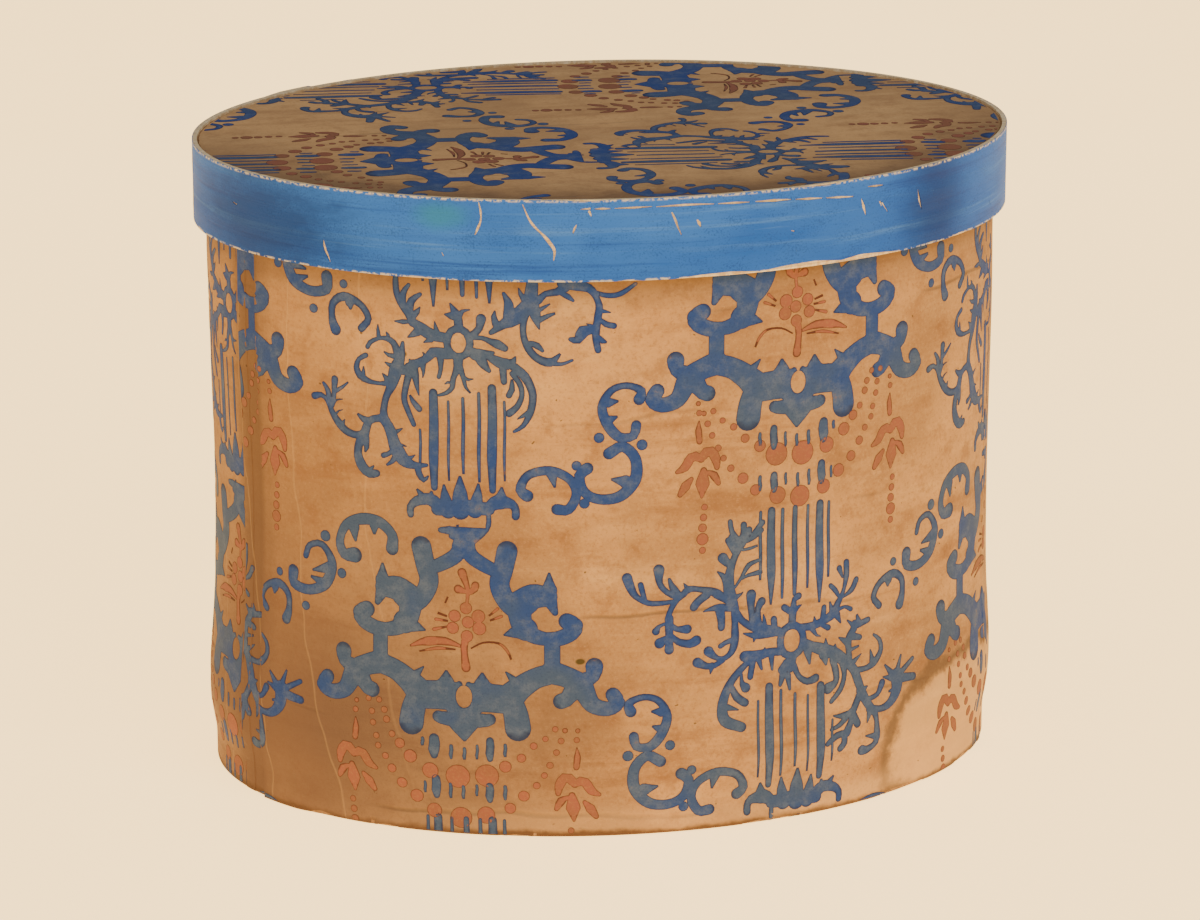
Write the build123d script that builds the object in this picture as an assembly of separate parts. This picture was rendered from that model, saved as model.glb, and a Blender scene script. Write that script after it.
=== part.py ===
from build123d import *
import os
from math import cos, sin, hypot, radians, degrees

# An oval pasteboard hat box (bandbox) with a lift-off lid, in millimetres.
# Origin: centre of the underside. +X runs along the long axis, -Y faces the front, +Z is up.

# ---- driving dimensions -------------------------------------------------------------------
box_length = 422.0          # long axis over the wall covering
box_width = 320.0           # short axis over the wall covering
total_height = 340.0        # underside to the top edge of the lid's rim
rim_height = 42.0           # depth of the lid's rim

board = 2.0                 # pasteboard of the wall and the bottom
rim_board = 2.2             # pasteboard of the lid's rim
lid_board = 2.0             # pasteboard of the lid's top
cover = 0.4                 # printed and painted cover papers
lining = 0.3                # plain lining paper
lid_play = 1.6              # gap between the wall's lap and the lid's lining
lid_recess = 1.0            # how far the lid's top lies below the edge of its rim

board_lap = 25.0            # overlap of the wall strip's ends
board_ramp = 20.0           # length in which the lapped end comes back down to the wall
rim_lap = 20.0              # overlap of the rim strip's ends
rim_ramp = 16.0
paper_lap = 8.0             # overlap of neighbouring wallpaper sheets
lining_lap = 6.0
turn_in = 15.0              # wallpaper folded over the top edge into the box
turn_under = 12.0           # wallpaper folded under the wall
base_inset = 2.0            # base paper stops this far inside the wall covering
lining_cover = 1.0          # the lining's step over the turned-in paper
lining_drop = 5.0           # lining stops this far below the top edge
disc_gap = 0.8              # gap between the lid's wallpaper and its rim
roll_width = 487.0          # trimmed width of one sheet of wallpaper

thread = 0.8                # linen thread, pulled flush into the soft board
thread_sink = 0.05
stitch_run = 12.0           # length of one running stitch in the laps
stitch_rows = (7.0, 17.0)   # rows of running stitch, measured from the lap's free end
loop_reach = 6.0            # how far the sewing loops reach into the bottom and the lid's top
loop_rise = 7.0             # how far they climb the wall and the rim
bottom_loops = 44
lid_loops = 40
lid_lap_runs = 2            # running stitches in each row of the rim's lap
rim_row_foot = 4.0          # height of those rows above the rim's lower edge
bare_margin = 3.0           # degrees left without loops at each side of a lap

# Arc positions round the wall, in mm from the middle of the front, positive towards +X.
board_lap_end = -229.0      # free end of the wall strip
front_sheet_start = -248.0  # left edge of the front sheet of wallpaper
rim_lap_end_angle = 128.0   # free end of the rim strip, at the back left
back_seam_angle = 112.0     # where the two back sheets of wallpaper meet
lining_seam_angles = (-8.0, 172.0)

# ---- sizes worked out from them -----------------------------------------------------------
half_long = box_length / 2 - cover - board       # inner face of the wall board
half_short = box_width / 2 - cover - board
cover_face = board + cover                       # offsets from the inner face of the wall board
lap_face = 2 * board + cover
rim_inner = lap_face + lid_play + lining
rim_outer = rim_inner + rim_board

base_top = cover                                 # heights
wall_foot = 2 * cover
floor_top = wall_foot + board
lid_top_face = total_height - lid_recess
lid_board_top = lid_top_face - cover
lid_board_foot = lid_board_top - lid_board
lid_ceiling = lid_board_foot - lining
wall_top = lid_ceiling - cover
rim_foot = total_height - rim_height

far = 400.0                 # beyond every outline
hold = cover                # how far a lap's raised strip runs on over the sheet that carries it
wedge_limit = 40            # widest wedge, in degrees, that one straight edge may close
walk_step = 0.02            # degrees per step when an arc is measured
lap_clearance = (1.0, 4.0)  # degrees round each lining seam kept free for its lap
edge_paper = degrees(cover / half_short)         # angle that one thickness of paper takes up


# ---- the oval -----------------------------------------------------------------------------
def on_oval(offset, angle):
    """Point at a parameter angle in degrees on the oval that lies offset outside the wall board's inner face."""
    turn = radians(angle)
    return ((half_long + offset) * cos(turn), (half_short + offset) * sin(turn))


def oval(offset):
    return Ellipse(half_long + offset, half_short + offset)


def angle_at(arc, offset=cover_face):
    """Parameter angle reached after walking that arc length from the middle of the front, at -90 degrees."""
    step = walk_step if arc > 0 else -walk_step
    angle, walked = -90.0, 0.0
    while abs(walked) < abs(arc):
        turn = radians(angle)
        rate = hypot((half_long + offset) * sin(turn), (half_short + offset) * cos(turn))
        walked += rate * radians(step)
        angle += step
    return angle


def arc_angle(length, angle, offset=cover_face):
    """Change of parameter angle that covers a short length of arc at that angle."""
    turn = radians(angle)
    return degrees(length / hypot((half_long + offset) * sin(turn), (half_short + offset) * cos(turn)))


def sector(start, end):
    """Wedge from the middle of the box between two parameter angles, end larger than start."""
    pieces = max(2, int((end - start) / wedge_limit) + 1)
    rays = [start + (end - start) * i / pieces for i in range(pieces + 1)]
    reach = far / cos(radians((end - start) / pieces / 2))
    rim = [(reach * on_oval(0, a)[0] / half_long, reach * on_oval(0, a)[1] / half_long) for a in rays]
    return Polygon((0, 0), *rim, align=None)


def band(inner, outer):
    return oval(outer) - oval(inner)


def strip(inner, outer, start, end):
    """Part of a band between two parameter angles."""
    return band(inner, outer) & sector(start, end)


def bumped(offset, rise, start, end, ramp_end):
    """Filled oval with a raised stretch from start to end that slopes back down by ramp_end."""
    raised = oval(offset + rise) & sector(start, end)
    slope = Polygon((0, 0), on_oval(offset + rise, end), on_oval(offset, ramp_end), align=None)
    return oval(offset) + raised + slope


def slab(shape, low, high):
    """Flat shape made solid between two heights."""
    return extrude(Pos(0, 0, low) * shape, high - low)


def frame_at(angle, offset):
    """Plane at a point of the oval whose x axis points outwards and whose y axis points up."""
    turn = radians(angle)
    x, y = on_oval(offset, angle)
    outward = Vector((half_short + offset) * cos(turn), (half_long + offset) * sin(turn), 0).normalized()
    return Plane(origin=(x, y, 0), x_dir=outward, z_dir=outward.cross(Vector(0, 0, 1)))


def board_depth(thickness, angle, offset=0.0):
    """Distance square to the oval between two outlines whose half axes differ by thickness."""
    turn = radians(angle)
    long, short = half_long + offset, half_short + offset
    share = (short * cos(turn) ** 2 + long * sin(turn) ** 2) / hypot(short * cos(turn), long * sin(turn))
    return thickness * share


# ---- laps and seams -----------------------------------------------------------------------
lap_from = angle_at(board_lap_end)
lap_to = lap_from + arc_angle(board_lap, lap_from)
lap_ramp = lap_to + arc_angle(board_ramp, lap_to)
rim_lap_to = rim_lap_end_angle + arc_angle(rim_lap, rim_lap_end_angle)
rim_lap_ramp = rim_lap_to + arc_angle(rim_ramp, rim_lap_to)

front_from = angle_at(front_sheet_start)
front_to = angle_at(front_sheet_start + roll_width)


def wall_outline():
    return bumped(board, board, lap_from, lap_to, lap_ramp)


def cover_outline():
    return bumped(cover_face, board, lap_from - edge_paper, lap_to, lap_ramp)


def rim_outline():
    return bumped(rim_outer, rim_board, rim_lap_end_angle, rim_lap_to, rim_lap_ramp)


def rim_cover_outline():
    return bumped(rim_outer + cover, rim_board, rim_lap_end_angle - edge_paper, rim_lap_to, rim_lap_ramp)


# ---- thread -------------------------------------------------------------------------------
def sewing_loops(count, offset, thickness, corner_low, corner_high, rise, skip):
    """Loops of thread round the joint of an upright strip and a flat board, evenly spaced round the oval.

    corner_low and corner_high are the flat board's faces. rise is the height at which the loop
    goes back through the strip, below corner_low or above corner_high. skip is an angle range left bare.
    """
    loops = []
    upwards = rise > corner_high
    near, level = (corner_low, corner_high) if upwards else (corner_high, corner_low)
    way = 1 if upwards else -1
    for i in range(count):
        angle = -180 + 360 * (i + 0.5) / count
        if skip[0] < angle < skip[1]:
            continue
        outer_face = board_depth(thickness, angle, offset) - thread_sink
        low, high, top = near + way * thread_sink, level - way * thread_sink, rise
        outside = Polygon((-loop_reach, low), (outer_face, low), (outer_face, top),
                          (thread_sink, top), (thread_sink, high), (-loop_reach, high), align=None)
        t = thread
        inside = Polygon((-loop_reach + t, low + way * t), (outer_face - t, low + way * t),
                         (outer_face - t, top - way * t), (thread_sink + t, top - way * t),
                         (thread_sink + t, high - way * t), (-loop_reach + t, high - way * t), align=None)
        loops.append(extrude(frame_at(angle, offset) * (outside - inside), t / 2, both=True))
    return loops


def running_stitches(angle, offset, thickness, low, count):
    """One continuous thread that runs up a lap, outside and inside by turns, sunk into both faces."""
    inner, outer = thread_sink, board_depth(thickness, angle, offset) - thread_sink
    runs = Rectangle(thread, thread, align=Align.MIN)
    for i in range(count):
        foot = low + i * stitch_run
        face = outer - thread if i % 2 == 0 else inner
        runs += Pos(face, foot) * Rectangle(thread, stitch_run + thread, align=Align.MIN)
        runs += Pos(inner, foot) * Rectangle(outer - inner, thread, align=Align.MIN)
    runs += Pos(inner, low + count * stitch_run) * Rectangle(outer - inner, thread, align=Align.MIN)
    runs -= Rectangle(thread, thread, align=Align.MIN)
    return extrude(frame_at(angle, offset) * runs, thread / 2, both=True)


def cut(solid, tools):
    """Solid with the room for every thread taken out of it."""
    return solid - Compound(children=list(tools)) if tools else solid


# ---- box ----------------------------------------------------------------------------------
def wall_lap_thread():
    """Rows that stop one and a half stitches short of the wall's foot and of its top."""
    bare_end = 1.5 * stitch_run
    count = int((wall_top - wall_foot - 2 * bare_end) / stitch_run)
    rows = []
    for row in stitch_rows:
        angle = lap_from + arc_angle(row, lap_from)
        rows.append(running_stitches(angle, 0, 2 * board, wall_foot + bare_end, count))
    return rows


def bottom_thread():
    bare = (lap_from - bare_margin, lap_ramp + bare_margin)
    return sewing_loops(bottom_loops, 0, board, wall_foot, floor_top, floor_top + loop_rise, bare)


def wall_board():
    return slab(wall_outline() - oval(0), wall_foot, wall_top)


def bottom_board():
    """Oval board whose middle lies on the base paper; the folded wallpaper beds into its soft margin."""
    margin = board - turn_under
    return slab(oval(0), wall_foot, floor_top) + slab(oval(margin), base_top, wall_foot)


def wallpaper_sheet(start, end, laps=()):
    """One sheet from start to end angle: wall face, folds over the top and under the foot, and laps over neighbours."""
    wedge = sector(start, end)
    face = cover_outline() - wall_outline()
    sheet = slab(face & wedge, base_top, wall_top + cover)
    sheet += slab((wall_outline() - oval(-cover)) & wedge, wall_top, wall_top + cover)
    sheet += slab(band(-cover, 0) & wedge, wall_top - turn_in, wall_top)
    sheet += slab((wall_outline() - oval(board - turn_under)) & wedge, base_top, wall_foot)
    for lap_start, lap_end in laps:
        sheet += slab(strip(cover_face, cover_face + cover, lap_start, lap_end), base_top, wall_top + cover)
    return sheet


def wallpaper_front():
    """Its two long edges lie on top of the neighbouring sheets."""
    lap_left, lap_right = arc_angle(paper_lap, front_from), arc_angle(paper_lap, front_to)
    return wallpaper_sheet(front_from + lap_left, front_to - lap_right, [
        (front_from, front_from + lap_left + hold),
        (front_to - lap_right - hold, front_to),
    ])


def wallpaper_back_right():
    lap_front, lap_back = arc_angle(paper_lap, front_to), arc_angle(paper_lap, back_seam_angle)
    return wallpaper_sheet(front_to - lap_front, back_seam_angle, [
        (back_seam_angle - hold, back_seam_angle + lap_back),
    ])


def wallpaper_back_left():
    return wallpaper_sheet(back_seam_angle, front_from + arc_angle(paper_lap, front_from) + 360)


def base_paper():
    return slab(oval(cover_face - base_inset), 0, base_top)


def wall_lining(start, end):
    """Sheet of lining up the wall that steps over the turned-in wallpaper near the top, with a lap at its far end."""
    wedge = sector(start, end)
    step = wall_top - turn_in
    sheet = slab(band(-lining, 0) & wedge, floor_top, step)
    sheet += slab(band(-cover - lining, 0) & wedge, step - lining_cover, step)
    sheet += slab(band(-cover - lining, -cover) & wedge, step, wall_top - lining_drop)
    lap_wedge = sector(end - hold, end + arc_angle(lining_lap, end))
    sheet += slab(band(-2 * lining, -lining) & lap_wedge, floor_top + lining, step - 2 * lining_cover)
    return sheet


def floor_lining():
    """Oval that lies inside the wall lining and its laps."""
    before, after = lap_clearance
    laps = Sketch() + [strip(-2 * lining, -lining, a - before, a + after) for a in lining_seam_angles]
    return slab(oval(-lining) - laps, floor_top, floor_top + lining)


# ---- lid ----------------------------------------------------------------------------------
def lid_lap_thread():
    rows = []
    for row in stitch_rows:
        angle = rim_lap_end_angle + arc_angle(row, rim_lap_end_angle)
        rows.append(running_stitches(angle, rim_inner, 2 * rim_board, rim_foot + rim_row_foot, lid_lap_runs))
    return rows


def lid_top_thread():
    bare = (rim_lap_end_angle - bare_margin, rim_lap_ramp + bare_margin)
    return sewing_loops(lid_loops, rim_inner, rim_board, lid_board_foot, lid_board_top,
                        lid_board_foot - loop_rise, bare)


def lid_rim_board():
    return slab(rim_outline() - oval(rim_inner), rim_foot, total_height)


def lid_top_board():
    return slab(oval(rim_inner), lid_board_foot, lid_board_top)


def lid_wallpaper():
    return slab(oval(rim_inner - disc_gap), lid_board_top, lid_top_face)


def lid_rim_paper():
    """Painted band, cut flush with both edges of the rim."""
    return slab(rim_cover_outline() - rim_outline(), rim_foot, total_height)


def lid_rim_lining():
    return slab(band(rim_inner - lining, rim_inner), rim_foot, lid_ceiling)


def lid_top_lining():
    return slab(oval(rim_inner), lid_ceiling, lid_board_foot)


# ---- write every piece --------------------------------------------------------------------
def main():
    os.makedirs("parts", exist_ok=True)
    lap_rows, bottom_sewing = wall_lap_thread(), bottom_thread()
    rim_rows, lid_sewing = lid_lap_thread(), lid_top_thread()
    pieces = {
        "wall_board": cut(wall_board(), lap_rows + bottom_sewing),
        "bottom_board": cut(bottom_board(), bottom_sewing),
        "wall_lap_thread": Compound(children=lap_rows),
        "bottom_thread": Compound(children=bottom_sewing),
        "wallpaper_front": wallpaper_front(),
        "wallpaper_back_left": wallpaper_back_left(),
        "wallpaper_back_right": wallpaper_back_right(),
        "base_paper": base_paper(),
        "wall_lining_front": wall_lining(lining_seam_angles[1] - 360, lining_seam_angles[0]),
        "wall_lining_back": wall_lining(lining_seam_angles[0], lining_seam_angles[1]),
        "floor_lining": floor_lining(),
        "lid_rim_board": cut(lid_rim_board(), rim_rows + lid_sewing),
        "lid_top_board": cut(lid_top_board(), lid_sewing),
        "lid_lap_thread": Compound(children=rim_rows),
        "lid_top_thread": Compound(children=lid_sewing),
        "lid_wallpaper": lid_wallpaper(),
        "lid_rim_paper": lid_rim_paper(),
        "lid_rim_lining": lid_rim_lining(),
        "lid_top_lining": lid_top_lining(),
    }
    for name, piece in pieces.items():
        export_step(piece, f"parts/{name}.step")


main()
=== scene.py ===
import bpy
import bmesh
import numpy as np
from math import cos, hypot, pi, radians, sin
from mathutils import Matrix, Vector, geometry, kdtree


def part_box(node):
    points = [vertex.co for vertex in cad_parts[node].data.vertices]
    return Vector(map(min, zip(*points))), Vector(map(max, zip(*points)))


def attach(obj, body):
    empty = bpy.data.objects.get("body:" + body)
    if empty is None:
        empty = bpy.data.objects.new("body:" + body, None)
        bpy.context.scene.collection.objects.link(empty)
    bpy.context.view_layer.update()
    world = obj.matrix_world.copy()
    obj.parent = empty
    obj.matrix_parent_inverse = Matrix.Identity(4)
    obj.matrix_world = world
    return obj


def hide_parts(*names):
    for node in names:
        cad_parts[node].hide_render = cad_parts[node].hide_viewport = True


# An oval hat box of pasteboard, covered in block-printed wallpaper, with a blue-rimmed lid.
# Every flat sheet is laid out first as (round, up, out): the way round the wall from the middle
# of the front, the height, and the depth outwards from the wall board's inner face.

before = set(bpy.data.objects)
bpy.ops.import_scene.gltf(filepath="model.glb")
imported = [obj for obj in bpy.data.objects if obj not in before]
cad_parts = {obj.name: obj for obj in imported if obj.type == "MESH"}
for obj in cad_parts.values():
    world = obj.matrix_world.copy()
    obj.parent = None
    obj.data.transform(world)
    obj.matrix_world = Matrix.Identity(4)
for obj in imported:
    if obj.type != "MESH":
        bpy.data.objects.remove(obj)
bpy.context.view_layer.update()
mm = 0.001

# ---- sizes, a few read from the frame and the rest given ----------------------------------
wall_low, wall_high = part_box("wall_board")
rim_low, rim_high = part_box("lid_rim_paper")
disc_low, disc_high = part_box("lid_wallpaper")
lining_low, lining_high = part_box("wall_lining_front")

board = 2.0 * mm                                 # thickness of the wall's pasteboard
cover = 0.4 * mm                                 # wallpaper
lining = 0.3 * mm
inner_long = wall_high[0] - board                # half axes of the wall board's inner face
inner_short = wall_high[1] - board
wall_foot, wall_top = wall_low[2], wall_high[2]
rim_paper_out = rim_high[0] - inner_long         # depth of the rim paper's outer face
rim_out = rim_paper_out - cover
disc_long, disc_short = disc_high[0], disc_high[1]
face_long = inner_long + board + cover           # the covered wall, on which lengths round are measured
face_short = inner_short + board + cover

lap_end, lap_flat, lap_foot = -229 * mm, -204 * mm, -184 * mm    # the wall strip's lapped end
sheet_left, sheet_right = -248 * mm, 239 * mm                    # edges of the front sheet
paper_lap = 8 * mm
fold_soft = 0.3 * mm                             # half the height over which a fold turns
print_under, print_over = -0.05 * mm, 0.1 * mm   # the print's thin film, below and above the paper's face
turn_in, turn_under = 15 * mm, 12 * mm
back_seam_angle = 112.0
lining_seams = (-8.0, 172.0)

# ---- the printed pattern ------------------------------------------------------------------
# Every stroke is one line: the points of its spine, then its widths along it, in millimetres from the
# middle of the rosette. Two blocks make the pattern; the second one is the other's looser mirror image.
column_pitch = 173.8 * mm
row_pitch = 326.6 * mm
half_drop = 166.2 * mm                           # how far the second block's rosette lies below the first
first_column, first_row = -105.8 * mm, 263.8 * mm

# the branch that hangs beside the first block's stripes
hanging_branch = (
    "-32,-2 -33,-8.5 -36,-17 -38.5,-25 -41.5,-31.5 -43,-39 -42.5,-42.5 / 2 4.8 7.7 6.4 4 3.6 4.8",
    "-44,-42.5 -40.5,-46.5 -38.5,-51.5 -36.5,-57.5 -32.5,-63.5 -27,-66 -20,-65.5 / 4.8 6 6.4 8.1 7.3 4 2",
    "-37.5,-50 -35,-48.5 -32.5,-47 / 3.2 2 0.5",
    "-36.5,-56 -32.5,-56 -30.5,-56.5 / 3.2 1.6 0.5",
    "-32.5,-63.5 -28,-62 -26,-60.5 / 4 2.4 0.5",
    "-25,-66.5 -24,-70.5 -21.5,-73.5 -19,-71 / 3.6 3.6 3.2 0.8",
    "-37.5,-59 -41,-61.5 -43.5,-62.5 / 3.2 2.4 3.1",
    "-36,-61.5 -39,-65.5 -42,-67.5 / 4 2.8 1.2",
    "-34.5,-8.5 -37,-2.5 -41,-0.5 -45.5,-1 -50,-3.5 -51.5,-6 / 4.8 4 3.2 2 2.6 2.6",
    "-45,-0.5 -45.5,3.5 -45.5,6.5 / 2.6 2.1 0.5",
    "-40,-0.5 -40,1.5 -41,3 / 3.2 2 0.6",
    "-36,-9.5 -40,-9 -42.5,-7.5 / 3.2 2.4 0.8",
    "-37,-15 -40,-14 -42,-13 / 3.2 2.3 0.6",
    "-39.5,-24 -41.5,-21 -43.5,-19 / 4.8 3.1 0.6",
    "-40.5,-24 -45,-24.5 -51,-24 -56,-21.5 -58,-17.5 -56.5,-13 -52.5,-10.5 / 3.2 2 2.8 4.4 3.6 2.6 2.9",
    "-54,-21 -54,-17.5 -54,-16.5 / 2.4 1.8 0.6",
    "-41.5,-44 -46,-43 -51,-45 -53,-49 -54,-52.5 / 4.8 4 4 4.8 5.2",
    "-51,-45 -54.5,-44.5 -58,-42 / 4 3.6 1.3",
    "-54,-52.5 -59,-53.5 -65,-52 -70,-47.5 -73.5,-42.5 -76,-37.5 -79.5,-35 -83.5,-36 / 4.8 4 4.4 "
    "4.8 4 2.9 2.6 4",
    "-74.5,-38 -75.5,-32 -78,-28.5 / 3.2 3.6 1.9",
    "-72,-37.5 -71.5,-30.5 -71,-25.5 / 2.4 3.1 4.2",
    "-71,-32 -66.5,-29 -63,-26 / 2.4 2 1",
    "-73,-40 -70.5,-36.5 -66.5,-35.5 / 2.3 1.2 0.5",
    "-71.5,-44.5 -69,-42 -66.5,-41 / 2 1 0.4",
    "-68.5,-49.5 -66.5,-48 -65.5,-46 / 4 2.4 0.6",
    "-54.5,-52.5 -57.5,-58.5 -58,-64.5 -55.5,-70 -51.5,-73 -47.5,-72.5 / 5.6 4.8 4.8 6 5.6 4",
    "-54,-54.5 -53,-59.5 -54,-62 / 5.6 3.6 1.2",
    "-51.5,-71.5 -49,-68.5 / 3.2 0.8",
)

# fronds over the first block's stripes
first_fronds = (
    "-28.5,-10 -28,-14.5 -30.5,-24.5 -31.5,-31.5 -29.5,-37.5 -26.5,-44.5 / 0.8 4.4 3.6 3.4 3.2 2.7",
    "-26.5,-12.5 -25.5,-18.5 -24.5,-24.5 -23.5,-29 / 4.8 4.4 2.8 0.6",
    "-28.5,-29 -27,-32 -23.5,-36 / 1.1 3.2 3.4",
    "-32,-17 -29,-14.5 -25,-12.5 -20.5,-10 -16.5,-6.5 / 4 4.8 4.8 4.4 4.8",
    "-21.5,-12 -21,-17 -21.5,-19.5 / 4 2 0.5",
    "-19,-9 -21.5,-6 / 2.8 0.6",
)

# leaves round the first block's rosette
first_rosette = (
    "-6.5,-6 -12,-6 -16.5,-5.5 -19,-9 / 5.6 6.4 4.8 3.2",
    "-12,-8.5 -12,-14.5 -13,-18.5 / 4 2.4 2.3",
    "-6.5,2 -12,2.5 -17,3.5 -21.5,6 -26.5,9.5 / 4.8 5.6 6.4 6.4 4",
    "-13.5,3.5 -14.5,7.5 -15,10.5 / 4 2.4 0.5",
    "-24,4.5 -27,2.5 -29.5,1 / 4.8 3.2 0.5",
    "-17,1 -21,-1 / 3.6 0.6",
    "-27,9.5 -32,9 -36.5,9 / 1.6 2.9 0.6",
    "-26.5,9 -28.5,13.5 -32.5,18.5 -35,24 -35.5,30.5 -35,35.5 / 4.8 4.8 4 3.6 3.4 2.4",
    "-31.5,18.5 -31.5,24 -28.5,28.5 / 3.2 3.6 2.1",
    "-28.5,15.5 -27,20.5 -22.5,24 / 4.8 4 2.3",
    "-26.5,12.5 -24,15 -22.5,17.5 / 4 3.2 0.6",
    "-2.5,4.5 -2.5,9.5 -3.5,14 -7,20.5 / 4.8 4.8 4.8 0.8",
    "-3.5,13.5 -6.5,14 -10,14.5 / 4.8 4 0.6",
    "-2.5,14 -0.5,16.5 3.5,17.5 / 4 2 0.6",
    "-3,-7 -3,-12.5 -5.5,-19 -6,-23.5 -9,-26.5 -13,-28 / 5.6 4.8 3.2 2.9 2.6 1.6",
    "-6,-21 -8.5,-21 -10,-22 / 1.6 1.6 0.6",
    "-3,-11 -0.5,-17 1,-23 3.5,-26 / 4.8 2.9 2.1 1",
    "0,-18 2.5,-19 5,-18.5 / 2.4 1.6 0.5",
    "2,3 6,5.5 8,8 9,13 / 4 4 3.9 5.3",
    "4,3 9.5,3 13.5,1.5 17.5,0 21,-2 / 2.7 2.4 3 5 3.7",
    "2,-3.5 7.5,-6 15,-4.5 / 4.7 7.3 2",
    "7.5,-6 10.5,-11 13,-14 / 6 5.3 2.3",
    "13.5,-7 20,-10 24.5,-9.5 26.5,-6 / 4 6 6 0.7",
    "25.5,-11.5 31,-16.5 34.5,-23.5 35,-29 33.5,-36 30,-42.5 25.5,-45.5 / 4.7 5 4.4 4 4 2.8 1.7",
    "24.5,-15 28.5,-20.5 29.5,-26.5 27,-32.5 23,-36 / 2.7 3.1 2.7 3.3 4.1",
    "24.5,-18 24.5,-23.5 23,-26.5 / 1.3 3.3 3.3",
    "20,-13 20.5,-19.5 / 4 3.3",
    "32.5,-35.5 29.5,-37.5 27,-39 / 2.7 2 0.5",
)

# the branch that rises from the first block's rosette
rising_branch = (
    "14,6 17.5,8.5 21,11 26,13.5 31,20.5 34,29 34.5,35 / 2.7 4.7 7.3 7.3 4 5.3 4.7",
    "16.5,10.5 15.5,14.5 16,17.5 / 4 3.3 0.8",
    "23,13.5 23,21 20.5,26.5 / 6 5.3 1.9",
    "31.5,23 29,26.5 28,29.5 / 4 2.7 0.7",
    "35,31.5 35.5,24 36.5,15 38.5,8 / 6 4.8 6 0.7",
    "38,23 41.5,26.5 47,27.5 51.5,30 / 4 3.3 4 5.3",
    "49.5,27 53,25 55.5,23 / 2.7 3.3 1.5",
    "37.5,17.5 41.5,20 44,21.5 / 2.7 2 0.7",
    "37.5,12.5 42.5,15 46.5,16.5 / 3.3 2.7 1.3",
    "33,19 30.5,12 30.5,4.5 33,-2 37.5,-7 44,-9 49,-4.5 / 4 3.7 3.3 4 4.1 5 1.3",
    "44,-9.5 49.5,-10 55,-8 / 2.7 2 1.5",
    "34,1 37.5,-0.5 40,-3 / 2.7 3.7 1.9",
    "49.5,32 59.5,30.5 65,28 68.5,20.5 68,15 67,7.5 67,2.5 68,-3 / 4.7 6 4.7 3.3 4.1 4.1 4 3.5",
    "69.5,17.5 74.5,16.5 / 2.7 0.5",
    "68.5,13.5 72,10.5 76,9.5 / 2 3.3 3.3",
    "68.5,3.5 70.5,1.5 72.5,1 / 2.7 3.3 1.1",
    "66.5,9 62,11 / 2.7 0.5",
    "65,7.5 60.5,7 57.5,2.5 54,3 / 4 6.7 5.3 2.3",
    "64,28 72,25.5 79,26 87,31 / 2 2.8 2.9 2",
)

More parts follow.
